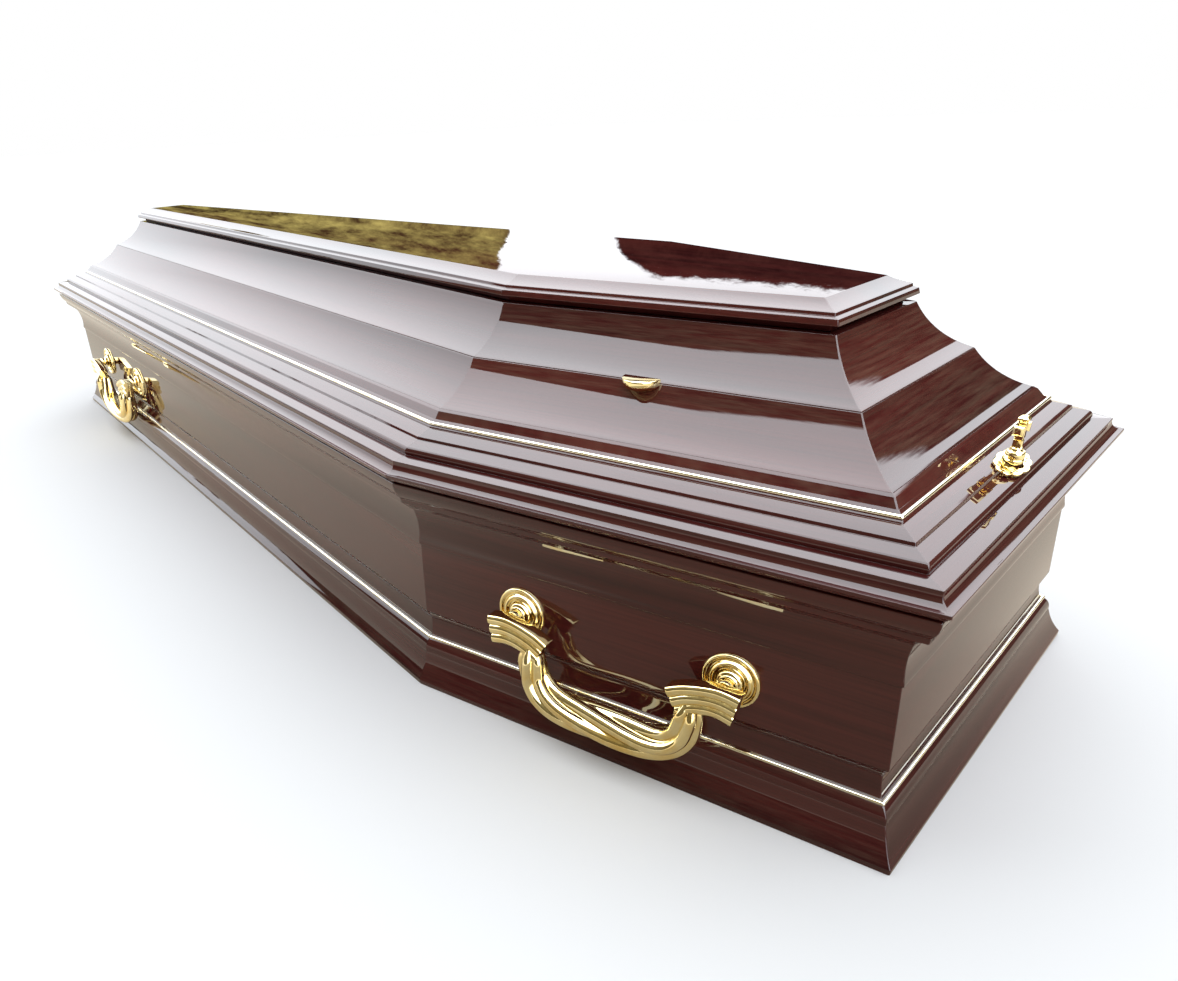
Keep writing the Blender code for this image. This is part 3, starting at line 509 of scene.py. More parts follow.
# Material whose shared effect gives its colour and ripple, and its roughness where it has one.
# The ripple is a strength and a height. The effect is laid out over the boards where the mesh
# carries them, or else over the object.
def effect_material(name, effect, on_boards, look, ripple, values):
    paint = bpy.data.materials.new(name)
    paint.use_nodes = True
    tree = paint.node_tree
    if on_boards:
        place = add_node(tree, "ShaderNodeAttribute", attribute_name="board").outputs["Vector"]
    else:
        place = add_node(tree, "ShaderNodeTexCoord").outputs["Object"]
    given = add_node(tree, "ShaderNodeGroup", node_tree=effect)
    for socket, value in look.items():
        given.inputs[socket].default_value = value
    tree.links.new(place, given.inputs["Place"])
    strength, distance = ripple
    bump = add_node(tree, "ShaderNodeBump", {
        "Strength": strength, "Distance": distance, "Height": given.outputs["Ripple"],
    })
    shader = tree.nodes["Principled BSDF"]
    tree.links.new(given.outputs["Colour"], shader.inputs["Base Color"])
    tree.links.new(bump.outputs["Normal"], shader.inputs["Normal"])
    if "Roughness" in given.outputs:
        tree.links.new(given.outputs["Roughness"], shader.inputs["Roughness"])
    for socket, value in values.items():
        shader.inputs[socket].default_value = value
    return paint


# Lacquer: a deep clear gloss over the stained wood, with the faint ripple of a sprayed coat
def lacquered_wood(name, streak, tone):
    look = {
        "Streak scale": streak, "Pore depth": 0.35, "Tone change": tone,
        "Dark": LACQUER_DARK, "Middle": LACQUER_MIDDLE, "Light": LACQUER_LIGHT,
    }
    return effect_material(name, hardwood_grain, True, look, LACQUER_RIPPLE, {
        "Roughness": 0.30,
        "Specular IOR Level": 0.0,
        "Coat Weight": 1.0,
        "Coat Roughness": 0.02,
        "Coat IOR": 1.52,
    })


body_lacquer = lacquered_wood("body_lacquer", 1.0, 0.45)

plinth_section = [(PLINTH_BACK_OUT, 0.0), PLINTH_FOOT]
plinth_section += arc(PLINTH_FOOT_TOP, PLINTH_SLOPE_TOP, -SLOPE_SAG, 8)
plinth_section += arc(PLINTH_SWELL_FOOT, PLINTH_SWELL_TOP, PLINTH_SWELL, 12)
plinth_section += arc(FASCIA_FOOT, FASCIA_TOP, -FASCIA_SAG, 6)
plinth_section.append((PLINTH_BACK_OUT, FASCIA_TOP[1]))
plinth = mitred_ring("plinth", plinth_section, body_lacquer, 0.4)
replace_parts(plinth, *["plinth_" + side for side in SIDES])


# Walls: six boards standing on edge, mitred, rebated for the plinth below and the crown above.
# Their outer faces lean in slightly towards the rim.
WALL_INNER_OUT = -0.058
PLINTH_SEAT_OUT = -0.040
CROWN_SEAT_OUT = -0.042
PANEL_FOOT = (-0.0256, 0.0884)
PANEL_TOP = (-0.0323, 0.1695)
WALL_TOP = 0.2477
WALL_REBATE_Z = 0.0765

wall_section = [
    (WALL_INNER_OUT, 0.0),
    (PLINTH_SEAT_OUT, 0.0),
    (PLINTH_SEAT_OUT, WALL_REBATE_Z),
]
wall_section += arc((FASCIA_TOP[0], WALL_REBATE_Z), (PANEL_FOOT[0], PANEL_FOOT[1] - 0.0012), -0.0012, 6)
wall_section += [
    PANEL_FOOT,
    PANEL_TOP,
    (CROWN_SEAT_OUT, PANEL_TOP[1]),
    (CROWN_SEAT_OUT, WALL_TOP),
    (WALL_INNER_OUT, WALL_TOP),
]
walls = mitred_ring("walls", wall_section, body_lacquer, 1.9)
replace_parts(walls, *["wall_" + side for side in SIDES])


# Bottom board: plain pale board glued between the walls, left unfinished.
# It keeps its solid and gets a sawn-wood finish.
BARE_DARK = (0.30, 0.19, 0.10, 1.0)
BARE_MIDDLE = (0.46, 0.32, 0.19, 1.0)
BARE_LIGHT = (0.58, 0.43, 0.27, 1.0)
BARE_RIPPLE = (0.25, 0.001)

bare_look = {
    "Streak scale": 0.7, "Pore depth": 0.35, "Tone change": 0.4,
    "Dark": BARE_DARK, "Middle": BARE_MIDDLE, "Light": BARE_LIGHT,
}
bare_board = effect_material(
    "bare_board", hardwood_grain, False, bare_look, BARE_RIPPLE, {"Roughness": 0.7}
)
for holder in bpy.data.objects["bottom_board"].material_slots:
    holder.material = bare_board


# Crown: the moulding planted round the rim under the lid, six mitred lengths.
# A hollow, a step and an ogee carry it outwards to the lid's lip.
CROWN_BACK_OUT = -0.0417
CROWN_FOOT = (-0.0306, 0.1698)
CROWN_FILLET = (-0.0308, 0.1728)
CROWN_HOLLOW_TOP = (-0.0298, 0.2120)
CROWN_STEP = (-0.0174, 0.2236)
CROWN_STEP_TOP = (-0.0168, 0.2290)
CROWN_LIP = (-0.0108, 0.2470)
CROWN_SAG = 0.0030

crown_section = [(CROWN_BACK_OUT, CROWN_FOOT[1]), CROWN_FOOT, CROWN_FILLET]
crown_section += arc(CROWN_FILLET, CROWN_HOLLOW_TOP, -CROWN_SAG, 12)[1:]
crown_section += arc(CROWN_HOLLOW_TOP, CROWN_STEP, -0.0012, 4)[1:]
crown_section.append(CROWN_STEP_TOP)
crown_section += arc(CROWN_STEP_TOP, CROWN_LIP, 0.0018, 8)[1:]
crown_section.append((CROWN_LIP[0] - 0.0006, WALL_TOP))
crown_section.append((CROWN_BACK_OUT, WALL_TOP))
crown = mitred_ring("crown", crown_section, body_lacquer, 3.1)
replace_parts(crown, *["crown_" + side for side in SIDES])


# Lid flange: the wide moulded frame that rests on the rim, six mitred lengths.
# From the lip inwards: a hollow, a flat, an ovolo, two bands with a small step, and a bead's seat.
FLANGE_BACK_OUT = -0.0820
RIM_Z = 0.2480
SHADOW_GAP = 0.0035
SHADOW_GAP_OUT = -0.0200
LIP_UNDER_OUT = -0.0085
LIP_TIP_LOW = (-0.0047, 0.2560)
LIP_TIP = (-0.0047, 0.2590)
LIP_HOLLOW_TOP = (-0.0157, 0.2700)
OVOLO_FOOT = (-0.0326, 0.2703)
OVOLO_TOP = (-0.0350, 0.2782)
BAND_END = (-0.0488, 0.2812)
BAND_STEP = (-0.0496, 0.2840)
UPPER_BAND_END = (-0.0656, 0.2880)
BEAD_SEAT_FOOT = (-0.0662, 0.2892)
BEAD_SEAT_TOP = (-0.0716, 0.2939)
COVE_ROLL_FOOT = (-0.0735, 0.2950)
COVE_ROLL_TOP = (-0.0790, 0.3018)
LOWER_COVE_FOOT = (-0.0819, 0.3035)
LIP_SAG = 0.0042

flange_section = [
    (FLANGE_BACK_OUT, RIM_Z),
    (SHADOW_GAP_OUT, RIM_Z),
    (SHADOW_GAP_OUT, RIM_Z + SHADOW_GAP),
    (LIP_UNDER_OUT, RIM_Z + SHADOW_GAP),
    LIP_TIP_LOW,
]
flange_section += arc(LIP_TIP, LIP_HOLLOW_TOP, -LIP_SAG, 12)
flange_section += arc(OVOLO_FOOT, OVOLO_TOP, 0.0016, 8)
flange_section += [BAND_END, BAND_STEP, UPPER_BAND_END]
flange_section += [BEAD_SEAT_FOOT, BEAD_SEAT_TOP, COVE_ROLL_FOOT, COVE_ROLL_TOP, LOWER_COVE_FOOT]
flange_section.append((FLANGE_BACK_OUT, LOWER_COVE_FOOT[1]))
lid_lacquer = lacquered_wood("lid_lacquer", 1.1, 0.7)
lid_flange = mitred_ring("lid_flange", flange_section, lid_lacquer, 5.3)
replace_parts(lid_flange, *["lid_flange_" + side for side in SIDES])


# Coved boards: two tiers of hollowed boards that raise the lid, six mitred lengths each.
# Each tier is steep at its upper edge and flattens outwards.
JOINT_GAP = 0.0003
COVE_EDGE = (-0.1338, 0.3436)
UPPER_COVE_TOP = (-0.1830, 0.3882)
LOWER_COVE_SAG = 0.0056
UPPER_COVE_SAG = 0.0064
COVE_BOARD_THICKNESS = 0.018
COVE_BOARD_HEEL = 0.020


def cove_section(foot, top, sag):
    chord = (Vector(top) - Vector(foot)).normalized()
    inward = Vector((chord.y, -chord.x))
    if inward.x > 0:
        inward = -inward
    heel = Vector(foot) + inward * COVE_BOARD_THICKNESS
    slope = chord.y / chord.x
    points = [(foot[0], heel.y + (foot[0] - heel.x) * slope)]
    points += arc(foot, top, -sag, 20)
    return points, heel, slope


lower_section, heel, slope = cove_section(
    (LOWER_COVE_FOOT[0] - JOINT_GAP, LOWER_COVE_FOOT[1]), COVE_EDGE, LOWER_COVE_SAG
)
lower_section.append((COVE_EDGE[0], heel.y + (COVE_EDGE[0] - heel.x) * slope))
lower_cove = mitred_ring("lid_lower_cove", lower_section, lid_lacquer, 7.7)
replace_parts(lower_cove, *["lid_lower_cove_" + side for side in SIDES])

upper_section, heel, slope = cove_section(
    (COVE_EDGE[0] - JOINT_GAP, COVE_EDGE[1]), UPPER_COVE_TOP, UPPER_COVE_SAG
)
back_out = UPPER_COVE_TOP[0] - COVE_BOARD_HEEL
upper_section.append((back_out, UPPER_COVE_TOP[1]))
upper_section.append((back_out, heel.y + (back_out - heel.x) * slope))
upper_cove = mitred_ring("lid_upper_cove", upper_section, lid_lacquer, 9.2)
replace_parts(upper_cove, *["lid_upper_cove_" + side for side in SIDES])


# Top plate: one six-sided board with a moulded edge that closes the lid.
# A neck lifts it off the coves, so a shadow line runs under its edge. The neck's lacquer is made
# dull and a little darker in tone: painted shade that deepens that shadow line.
NECK_SHADE_GLOSS = 0.08
PLATE_NECK_OUT = -0.1925
PLATE_NECK_TOP = 0.3938
PLATE_EDGE_FOOT = (-0.1816, 0.3954)
PLATE_EDGE_TOP = (-0.1830, 0.4008)
PLATE_STEP = (-0.1876, 0.4022)
PLATE_STEP_TOP = (-0.1881, 0.4049)
PLATE_FLAT = (-0.2072, 0.4124)

plate_profile = [
    (PLATE_NECK_OUT, UPPER_COVE_TOP[1] + JOINT_GAP),
    (PLATE_NECK_OUT, PLATE_NECK_TOP),
    PLATE_EDGE_FOOT,
    PLATE_EDGE_TOP,
    PLATE_STEP,
    PLATE_STEP_TOP,
]
plate_profile += arc(PLATE_STEP_TOP, PLATE_FLAT, -0.0009, 8)[1:]
plate_rings = eased([(-0.25, plate_profile[0][1])] + plate_profile + [(-0.25, PLATE_FLAT[1])], EDGE_EASE)
plate_rings = [ring for ring in plate_rings if ring[0] > -0.249]
plate_work = bmesh.new()
weight_layer = plate_work.edges.layers.float.new("bevel_weight_edge")
levels = []
for out, height in plate_rings:
    levels.append([plate_work.verts.new((c.x, c.y, height)) for c in plan_corners(out)])
for below, above in zip(levels, levels[1:]):
    for index in range(6):
        after = (index + 1) % 6
        face = plate_work.faces.new((below[index], below[after], above[after], above[index]))
        # Neck faces take the second slot, the dull darker lacquer that paints shade under the edge
        face.material_index = 1 if above[index].co.z < PLATE_NECK_TOP + 0.0004 else 0
for below, above in zip(levels, levels[1:]):
    for index in range(6):
        plate_work.edges.get((below[index], above[index]))[weight_layer] = 1.0
plate_work.faces.new(levels[-1])
plate_work.faces.new(list(reversed(levels[0])))
bmesh.ops.recalc_face_normals(plate_work, faces=plate_work.faces)
plate_mesh = bpy.data.meshes.new("lid_top_plate_board")
plate_work.to_mesh(plate_mesh)
plate_work.free()
grain = plate_mesh.attributes.new("board", "FLOAT_VECTOR", "CORNER")
for polygon in plate_mesh.polygons:
    for loop in polygon.loop_indices:
        spot = plate_mesh.vertices[plate_mesh.loops[loop].vertex_index].co
        grain.data[loop].vector = (spot.x + 11.0, spot.y + 2.0, spot.z)
plate_mesh.shade_smooth()
# Painted shade: a duller lacquer with less light tone, so the recess under the plate's edge reads dark
neck_shade_lacquer = lacquered_wood("neck_shade_lacquer", 1.0, 0.30)
neck_shade_lacquer.node_tree.nodes["Principled BSDF"].inputs["Coat Weight"].default_value = NECK_SHADE_GLOSS
plate_mesh.materials.append(lid_lacquer)
plate_mesh.materials.append(neck_shade_lacquer)
top_plate = placed("lid_top_plate_board", plate_mesh)
ease_mitres(top_plate)
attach(top_plate, "root")
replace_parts(top_plate, "lid_top_plate")


# Handles: one heavy brass-plated casting each, hung on two posts and fixed.
# Two ribbed wings carry a thick twisted bar whose round ridges swirl from leg to leg.
HANDLE_CENTRE_FROM_HEAD_CORNER = 0.2715
HANDLE_CENTRE_FROM_FOOT_CORNER = 0.3190
HANDLE_POST_SPACING = 0.2230
HANDLE_POST_Z = 0.1265
PANEL_LEAN_TOP = (-0.0346, 0.1900)
BAR_OUT = 0.0250
BAR_RADIUS = 0.0148
BAR_LOBES = 5
BAR_LOBE_DEPTH = 0.0044
BAR_TWIST = math.radians(215.0)
BAR_STATIONS = 150
BAR_END_SHARE = 0.92
BAR_TIP_SHARE = 0.40
BAR_TIP_LENGTH = 0.0200
BAR_MIDDLE_SWELL = 0.16
BAR_ANCHORS = (
    (0.0850, -0.0160),
    (0.0840, -0.0300),
    (0.0825, -0.0440),
    (0.0790, -0.0570),
    (0.0670, -0.0700),
    (0.0450, -0.0775),
    (0.0000, -0.0797),
)
WING_HALF_HEIGHT = 0.0152
WING_HALF_DEPTH = 0.0065
WING_RIB_SWELL = 0.0026
WING_ANCHORS = (
    (0.1280, -0.0097),
    (0.11275, -0.0073),
    (0.0975, -0.0092),
    (0.08225, -0.0140),
    (0.0705, -0.0205),
)
WING_FLARE = (1.0, 0.96, 0.92, 0.94, 1.0)
WING_STATIONS = 40
WING_EASE = 0.0007
CASTING_EASE = 0.0006
GILT_COLOUR = (1.0, 0.87, 0.50, 1.0)
GILT_DEEP_COLOUR = (0.94, 0.70, 0.27, 1.0)
GILT_POLISH = 0.045
GILT_DULLING = 0.06
GILT_RIPPLE = (0.18, 0.0004)


# Gilding: polished plating, a little deeper in colour and duller in patches from handling
def make_gilding():
    group = new_group("gilding", "ShaderNodeTree", {
        "Place": "Vector", "Bright": "Color", "Deep": "Color", "Polish": "Float", "Dulling": "Float",
    }, {"Colour": "Color", "Roughness": "Float", "Ripple": "Float"})
    given = group.nodes.new("NodeGroupInput").outputs

    def patches(scale, detail):
        values = {"Vector": given["Place"], "Scale": scale, "Detail": detail}
        return add_node(group, "ShaderNodeTexNoise", values).outputs["Fac"]

    handled = ramp(group, patches(55.0, 3.0), 0.40, 0.72)
    add_node(group, "NodeGroupOutput", {
        "Colour": blend(group, handled, given["Bright"], given["Deep"]),
        "Roughness": number(group, "MULTIPLY_ADD", handled, given["Dulling"], given["Polish"]),
        "Ripple": patches(120.0, 1.0),
    })
    return group


gilding = make_gilding()


def gilt_finish(name, bright, deep):
    look = {"Bright": bright, "Deep": deep, "Polish": GILT_POLISH, "Dulling": GILT_DULLING}
    return effect_material(name, gilding, False, look, GILT_RIPPLE, {"Metallic": 1.0})


gilt_metal = gilt_finish("gilt_metal", GILT_COLOUR, GILT_DEEP_COLOUR)


# Rule for cast bars: a section carried along a path, turned and swollen on the way
def make_path_rule():
    tree = new_group("section_along_path", "GeometryNodeTree", {
        "Path": "Object", "Section": "Object", "Stations": "Int", "Twist": "Float",
        "Middle swell": "Float", "Finish": "Material",
    }, {"Geometry": "Geometry"})
    tree.is_modifier = True
    given = tree.nodes.new("NodeGroupInput").outputs

    def curve_step(kind, values, **options):
        return add_node(tree, kind, values, **options).outputs["Curve"]

    along = tree.nodes.new("GeometryNodeSplineParameter").outputs["Factor"]
    turn = number(tree, "MULTIPLY", number(tree, "SUBTRACT", along, 0.5), given["Twist"])
    bow = number(tree, "SINE", number(tree, "MULTIPLY", along, math.pi))
    swell = number(tree, "MULTIPLY_ADD", bow, given["Middle swell"], 1.0)
    radius = tree.nodes.new("GeometryNodeInputRadius").outputs[0]
    width = number(tree, "MULTIPLY", radius, swell)
    curve = curve_step("GeometryNodeResampleCurve", {
        "Curve": shape_of(tree, given["Path"]), "Count": given["Stations"],
    })
    curve = curve_step("GeometryNodeSetCurveNormal", {"Curve": curve}, mode="Z_UP")
    curve = curve_step("GeometryNodeSetCurveTilt", {"Curve": curve, "Tilt": turn})
    curve = curve_step("GeometryNodeSetCurveRadius", {"Curve": curve, "Radius": width})
    carry = add_node(tree, "GeometryNodeCurveToMesh", {
        "Curve": curve, "Profile Curve": shape_of(tree, given["Section"]), "Fill Caps": True,
    })
    if "Scale" in carry.inputs:
        tree.links.new(width, carry.inputs["Scale"])
    finish_rule(tree, carry.outputs["Mesh"], 0.000005, given["Finish"])
    return tree


path_rule = make_path_rule()


def add_line(shape, points, radii=None, closed=False):
    spline = shape.splines.new("POLY")
    spline.points.add(len(points) - 1)
    for index, (point, (x, y, z)) in enumerate(zip(spline.points, points)):
        point.co = (x, y, z, 1.0)
        point.radius = radii[index] if radii else 1.0
    spline.use_cyclic_u = closed


# Smooth line through the anchors, each a tuple of any length
def through(anchors, steps):
    padded = [anchors[0]] + list(anchors) + [anchors[-1]]
    dense = []
    for index in range(1, len(padded) - 2):
        window = [Vector(point) for point in padded[index - 1:index + 3]]
        before, start, end, after = window
        for step in range(steps):
            t = step / steps
            dense.append(tuple(0.5 * (
                2 * start + (end - before) * t
                + (2 * before - 5 * start + 4 * end - after) * t * t
                + (3 * start - before - 3 * end + after) * t * t * t
            )))
    dense.append(tuple(anchors[-1]))
    return dense


def cast_along(path_points, radii, section_points, stations, twist, swell):
    path_shape, section_shape = (bpy.data.curves.new(name, "CURVE") for name in ("path", "section"))
    path_shape.dimensions = section_shape.dimensions = "3D"
    add_line(path_shape, path_points, radii)
    add_line(section_shape, [(x, y, 0.0) for x, y in section_points], closed=True)
    path, section = placed("path", path_shape), placed("section", section_shape)
    carrier = placed("carrier", bpy.data.meshes.new("carrier"))
    run_rule(carrier, path_rule, {
        "Path": path,
        "Section": section,
        "Stations": stations,
        "Twist": twist,
        "Middle swell": swell,
        "Finish": gilt_metal,
    })
    return faced_out(worked_mesh(carrier, (path, section, carrier)))


# One casting: a first mesh with others joined to it or cut from it, then softened edges
def combined_mesh(first, others, operation, solver, angle, ease, segments):
    item = placed("item", first)
    helpers = [placed("helper", mesh) for mesh in others]
    for helper in helpers:
        step = item.modifiers.new("step", "BOOLEAN")
        step.operation = operation
        step.solver = solver
        step.object = helper
    soften = item.modifiers.new("soften", "BEVEL")
    soften.limit_method = "ANGLE"
    soften.angle_limit = math.radians(angle)
    soften.width = ease
    soften.segments = segments
    return worked_mesh(item, helpers + [item])


def casting_mesh():
    right = [(x, y, BAR_OUT) for x, y in BAR_ANCHORS]
    left = [(-x, y, BAR_OUT) for x, y in reversed(BAR_ANCHORS[:-1])]
    path = through([Vector(p) for p in right + left], 8)
    travelled = [0.0]
    for first, second in zip(path, path[1:]):
        travelled.append(travelled[-1] + (Vector(second) - Vector(first)).length)
    shares = []
    for distance in travelled:
        rise = min(1.0, min(distance, travelled[-1] - distance) / BAR_TIP_LENGTH)
        rise = math.sin(rise * math.pi / 2)
        shares.append(BAR_END_SHARE * (BAR_TIP_SHARE + (1 - BAR_TIP_SHARE) * rise))
    ring = []
    count = 16 * BAR_LOBES
    for step in range(count):
        angle = math.tau * step / count
        radius = BAR_RADIUS - BAR_LOBE_DEPTH * (1 - abs(math.sin(BAR_LOBES * angle / 2)))
        ring.append((radius * math.cos(angle), radius * math.sin(angle)))
    bar = cast_along(path, shares, ring, BAR_STATIONS, BAR_TWIST, BAR_MIDDLE_SWELL / BAR_END_SHARE)
    ribs = []
    width = 2 * WING_HALF_HEIGHT / 3
    for rib in range(3):
        low_edge = -WING_HALF_HEIGHT + rib * width
        low, high = ((edge, -WING_HALF_DEPTH) for edge in (low_edge, low_edge + width))
        points = arc(low, high, WING_RIB_SWELL, 12)
        ribs += points if rib == 0 else points[1:]
    ribs += [(WING_HALF_HEIGHT, WING_HALF_DEPTH), (-WING_HALF_HEIGHT, WING_HALF_DEPTH)]
    ribs = eased(ribs, WING_EASE)
    wings = []
    for sign in (1, -1):
        anchors = [
            Vector((sign * x, y, BAR_OUT, flare)) for (x, y), flare in zip(WING_ANCHORS, WING_FLARE)
        ]
        dense = through(anchors, 8)
        points = [(x, y, z) for x, y, z, _ in dense]
        flares = [flare for _, _, _, flare in dense]
        wings.append(cast_along(points, flares, ribs, WING_STATIONS, 0.0, 0.0))
    return combined_mesh(bar, wings, "UNION", "MANIFOLD", 40.0, CASTING_EASE, 2)


def handle_frame(index, along_from_start):
    start, along, outward = side_line(index)
    lean_run = PANEL_LEAN_TOP[0] - PANEL_FOOT[0]
    lean_rise = PANEL_LEAN_TOP[1] - PANEL_FOOT[1]
    on_panel = PANEL_FOOT[0] + lean_run / lean_rise * (HANDLE_POST_Z - PANEL_FOOT[1])
    spot = start + along * along_from_start + outward * on_panel
    lean = math.atan2(lean_run, lean_rise)
    out3 = Vector((outward.x, outward.y, 0.0))
    up = Vector((0.0, 0.0, 1.0))
    out_of_panel = out3 * math.cos(lean) - up * math.sin(lean)
    up_panel = up * math.cos(lean) + out3 * math.sin(lean)
    place = Matrix((up_panel.cross(out_of_panel), up_panel, out_of_panel)).transposed().to_4x4()
    place.translation = Vector((spot.x, spot.y, HANDLE_POST_Z))
    return place


def gilt_piece(name, mesh, angle=35.0):
    mesh.materials.clear()
    mesh.materials.append(gilt_metal)
    mesh.shade_smooth()
    mesh.set_sharp_from_angle(angle=math.radians(angle))
    piece = placed(name, mesh)
    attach(piece, "root")
    return piece


casting = casting_mesh()
shoulder_span = (PLAN[1] - PLAN[0]).length
side_span = (PLAN[2] - PLAN[1]).length
HANDLE_SPOTS = (
    ("left_head", 0, HANDLE_CENTRE_FROM_HEAD_CORNER),
    ("left_foot", 1, side_span - HANDLE_CENTRE_FROM_FOOT_CORNER),
    ("right_foot", 3, HANDLE_CENTRE_FROM_FOOT_CORNER),
    ("right_head", 4, shoulder_span - HANDLE_CENTRE_FROM_HEAD_CORNER),
)
for label, index, along in HANDLE_SPOTS:
    mesh = casting.copy()
    mesh.transform(handle_frame(index, along))
    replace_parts(gilt_piece("cast_handle_" + label, mesh), "handle_" + label)


# Gilt beads: bright metal-faced strips with a half-round face, each bent round all six corners.
# One lies on its seat under the lid's lower cove, the other on the plinth against the fascia.
GILT_BEAD_WIDTH = 0.0040
GILT_BEAD_SWELL = 0.0020
STRIP_COLOUR = (0.95, 0.92, 0.82, 1.0)
STRIP_DEEP_COLOUR = (0.86, 0.76, 0.50, 1.0)

strip_metal = gilt_finish("gilt_strip", STRIP_COLOUR, STRIP_DEEP_COLOUR)
for label, seat_foot, seat_top in (
    ("lid", BEAD_SEAT_FOOT, BEAD_SEAT_TOP), ("plinth", PLINTH_SWELL_TOP, FASCIA_FOOT)
):
    seat = (Vector(seat_top) - Vector(seat_foot)).normalized()
    off_seat = Vector((seat.y, -seat.x))
    middle = (Vector(seat_top) + Vector(seat_foot)) / 2 + off_seat * JOINT_GAP
    half = seat * (GILT_BEAD_WIDTH / 2)
    strip_section = arc(middle - half, middle + half, GILT_BEAD_SWELL, 14)
    strip = mitred_ring("gilt_strip_" + label, strip_section, strip_metal, 0.0, 0.0003)
    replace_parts(strip, label + "_gilt_bead")


# Rosettes: round cast plates of stepped rings behind each post, screwed flat to the panel.
# Each plate and its post are one turned-looking casting.
ROSETTE_STAND = 0.0003
ROSETTE_RINGS = (
    (0.0270, 0.0003), (0.0270, 0.0020), (0.0266, 0.0033), (0.0257, 0.0042), (0.0245, 0.0045),
    (0.0233, 0.0042), (0.0224, 0.0033), (0.0219, 0.0026), (0.0211, 0.0024), (0.0203, 0.0028),
    (0.0196, 0.0040), (0.0187, 0.0052), (0.0176, 0.0058), (0.0165, 0.0056), (0.0156, 0.0046),
    (0.0149, 0.0034), (0.0140, 0.0028), (0.0131, 0.0032), (0.0124, 0.0048), (0.0115, 0.0068),
    (0.0104, 0.0078), (0.0093, 0.0080), (0.0084, 0.0088), (0.0077, 0.0105), (0.0075, 0.0125),
)


def turned_mesh(section, steps):
    verts, faces = [], []
    for step in range(steps):
        angle = math.tau * step / steps
        for radius, height in section:
            verts.append((radius * math.cos(angle), radius * math.sin(angle), height))
    count = len(section)
    for step in range(steps):
        after = (step + 1) % steps
        for level in range(count - 1):
            faces.append((
                step * count + level, after * count + level,
                after * count + level + 1, step * count + level + 1,
            ))
    mesh = bpy.data.meshes.new("turned")
    mesh.from_pydata(verts, [], faces)
    return faced_out(mesh, 0.000002)


post_end = BAR_OUT - WING_HALF_DEPTH - ROSETTE_STAND
rosette_section = [(0.0, ROSETTE_STAND)] + list(ROSETTE_RINGS)
rosette_section += [(0.0075, post_end - 0.0004), (0.0071, post_end), (0.0, post_end)]
rosette_mesh = turned_mesh(rosette_section, 96)
for label, index, along in HANDLE_SPOTS:
    place = handle_frame(index, along)
    for sign in (1, -1):
        mesh = rosette_mesh.copy()
        mesh.transform(place @ Matrix.Translation((sign * HANDLE_POST_SPACING / 2, 0.0, 0.0)))
        toward_head = (place.to_3x3() @ Vector((sign, 0.0, 0.0))).x > 0
        end_name = "head_end" if toward_head else "foot_end"
        piece = gilt_piece(f"cast_rosette_{label}_{end_name}", mesh, 60.0)
        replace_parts(piece, f"rosette_{label}_{end_name}")


# Lid knobs: half-round cast knobs, flat and polished on top, seated on the lower cove's upper end.
# They are pressed against the joint of the two tiers.
KNOB_RADIUS = 0.0185
KNOB_TOP_ABOVE_EDGE = 0.0040
KNOB_RIM_HEIGHT = 0.0040
KNOB_DEPTH = 0.0125
KNOB_EASE = 0.0009
KNOB_CUT_REACH = 0.04
KNOB_CUT_EASE = 0.0007


def side_frame(index):
    outward = side_line(index)[2].to_3d()
    up = Vector((0.0, 0.0, 1.0))
    return Matrix((outward, up, outward.cross(up))).transposed().to_4x4()


# Closed solid through a stack of rings, lowest first, capped at both ends
def stacked_mesh(rings):
    count = len(rings[0])
    verts = [point for ring in rings for point in ring]
    last = len(verts) - count
    faces = [tuple(range(count - 1, -1, -1)), tuple(range(last, last + count))]
    for base in range(0, last, count):
        for index in range(count):
            after = (index + 1) % count
            faces.append((base + index, base + after, base + count + after, base + count + index))
    mesh = bpy.data.meshes.new("stack")
    mesh.from_pydata(verts, [], faces)
    return faced_out(mesh)


for label, index in (("left", 0), ("right", 4)):
    inner = plan_corners(COVE_EDGE[0] + JOINT_GAP)
    middle = (inner[index] + inner[(index + 1) % 6]) / 2
    rim_foot = KNOB_TOP_ABOVE_EDGE - KNOB_RIM_HEIGHT
    section = [
        (0.0, KNOB_TOP_ABOVE_EDGE),
        (KNOB_RADIUS - KNOB_EASE, KNOB_TOP_ABOVE_EDGE),
        (KNOB_RADIUS - 0.3 * KNOB_EASE, KNOB_TOP_ABOVE_EDGE - 0.3 * KNOB_EASE),
        (KNOB_RADIUS, KNOB_TOP_ABOVE_EDGE - KNOB_EASE),
    ]
    for step in range(17):
        angle = math.radians(90.0 * step / 16)
        fall = (KNOB_DEPTH - KNOB_RIM_HEIGHT) * math.sin(angle)
        section.append((KNOB_RADIUS * math.cos(angle), rim_foot - fall))
    cove = arc(LOWER_COVE_FOOT, COVE_EDGE, -LOWER_COVE_SAG, 24)
    seat = min(cove, key=lambda point: abs(COVE_EDGE[1] - KNOB_DEPTH - point[1]))
    seat_out, seat_z = seat[0] - COVE_EDGE[0], seat[1] - COVE_EDGE[1]
    reach = KNOB_CUT_REACH
    outline = (
        (-reach, reach), (-reach, -reach), (seat_out, -reach), (seat_out, seat_z), (0.0, 0.0),
        (0.0, reach),
    )
    block = stacked_mesh([[(x, y, z) for x, y in outline] for z in (-reach, reach)])
    disc = turned_mesh(section, 128)
    disc.transform(Matrix.Rotation(math.radians(-90.0), 4, "X"))
    mesh = combined_mesh(disc, [block], "DIFFERENCE", "EXACT", 50.0, KNOB_CUT_EASE, 3)
    place = side_frame(index)
    place.translation = Vector((middle.x, middle.y, COVE_EDGE[1]))
    mesh.transform(place)
    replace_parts(gilt_piece("cast_knob_" + label, mesh), "lid_knob_" + label)


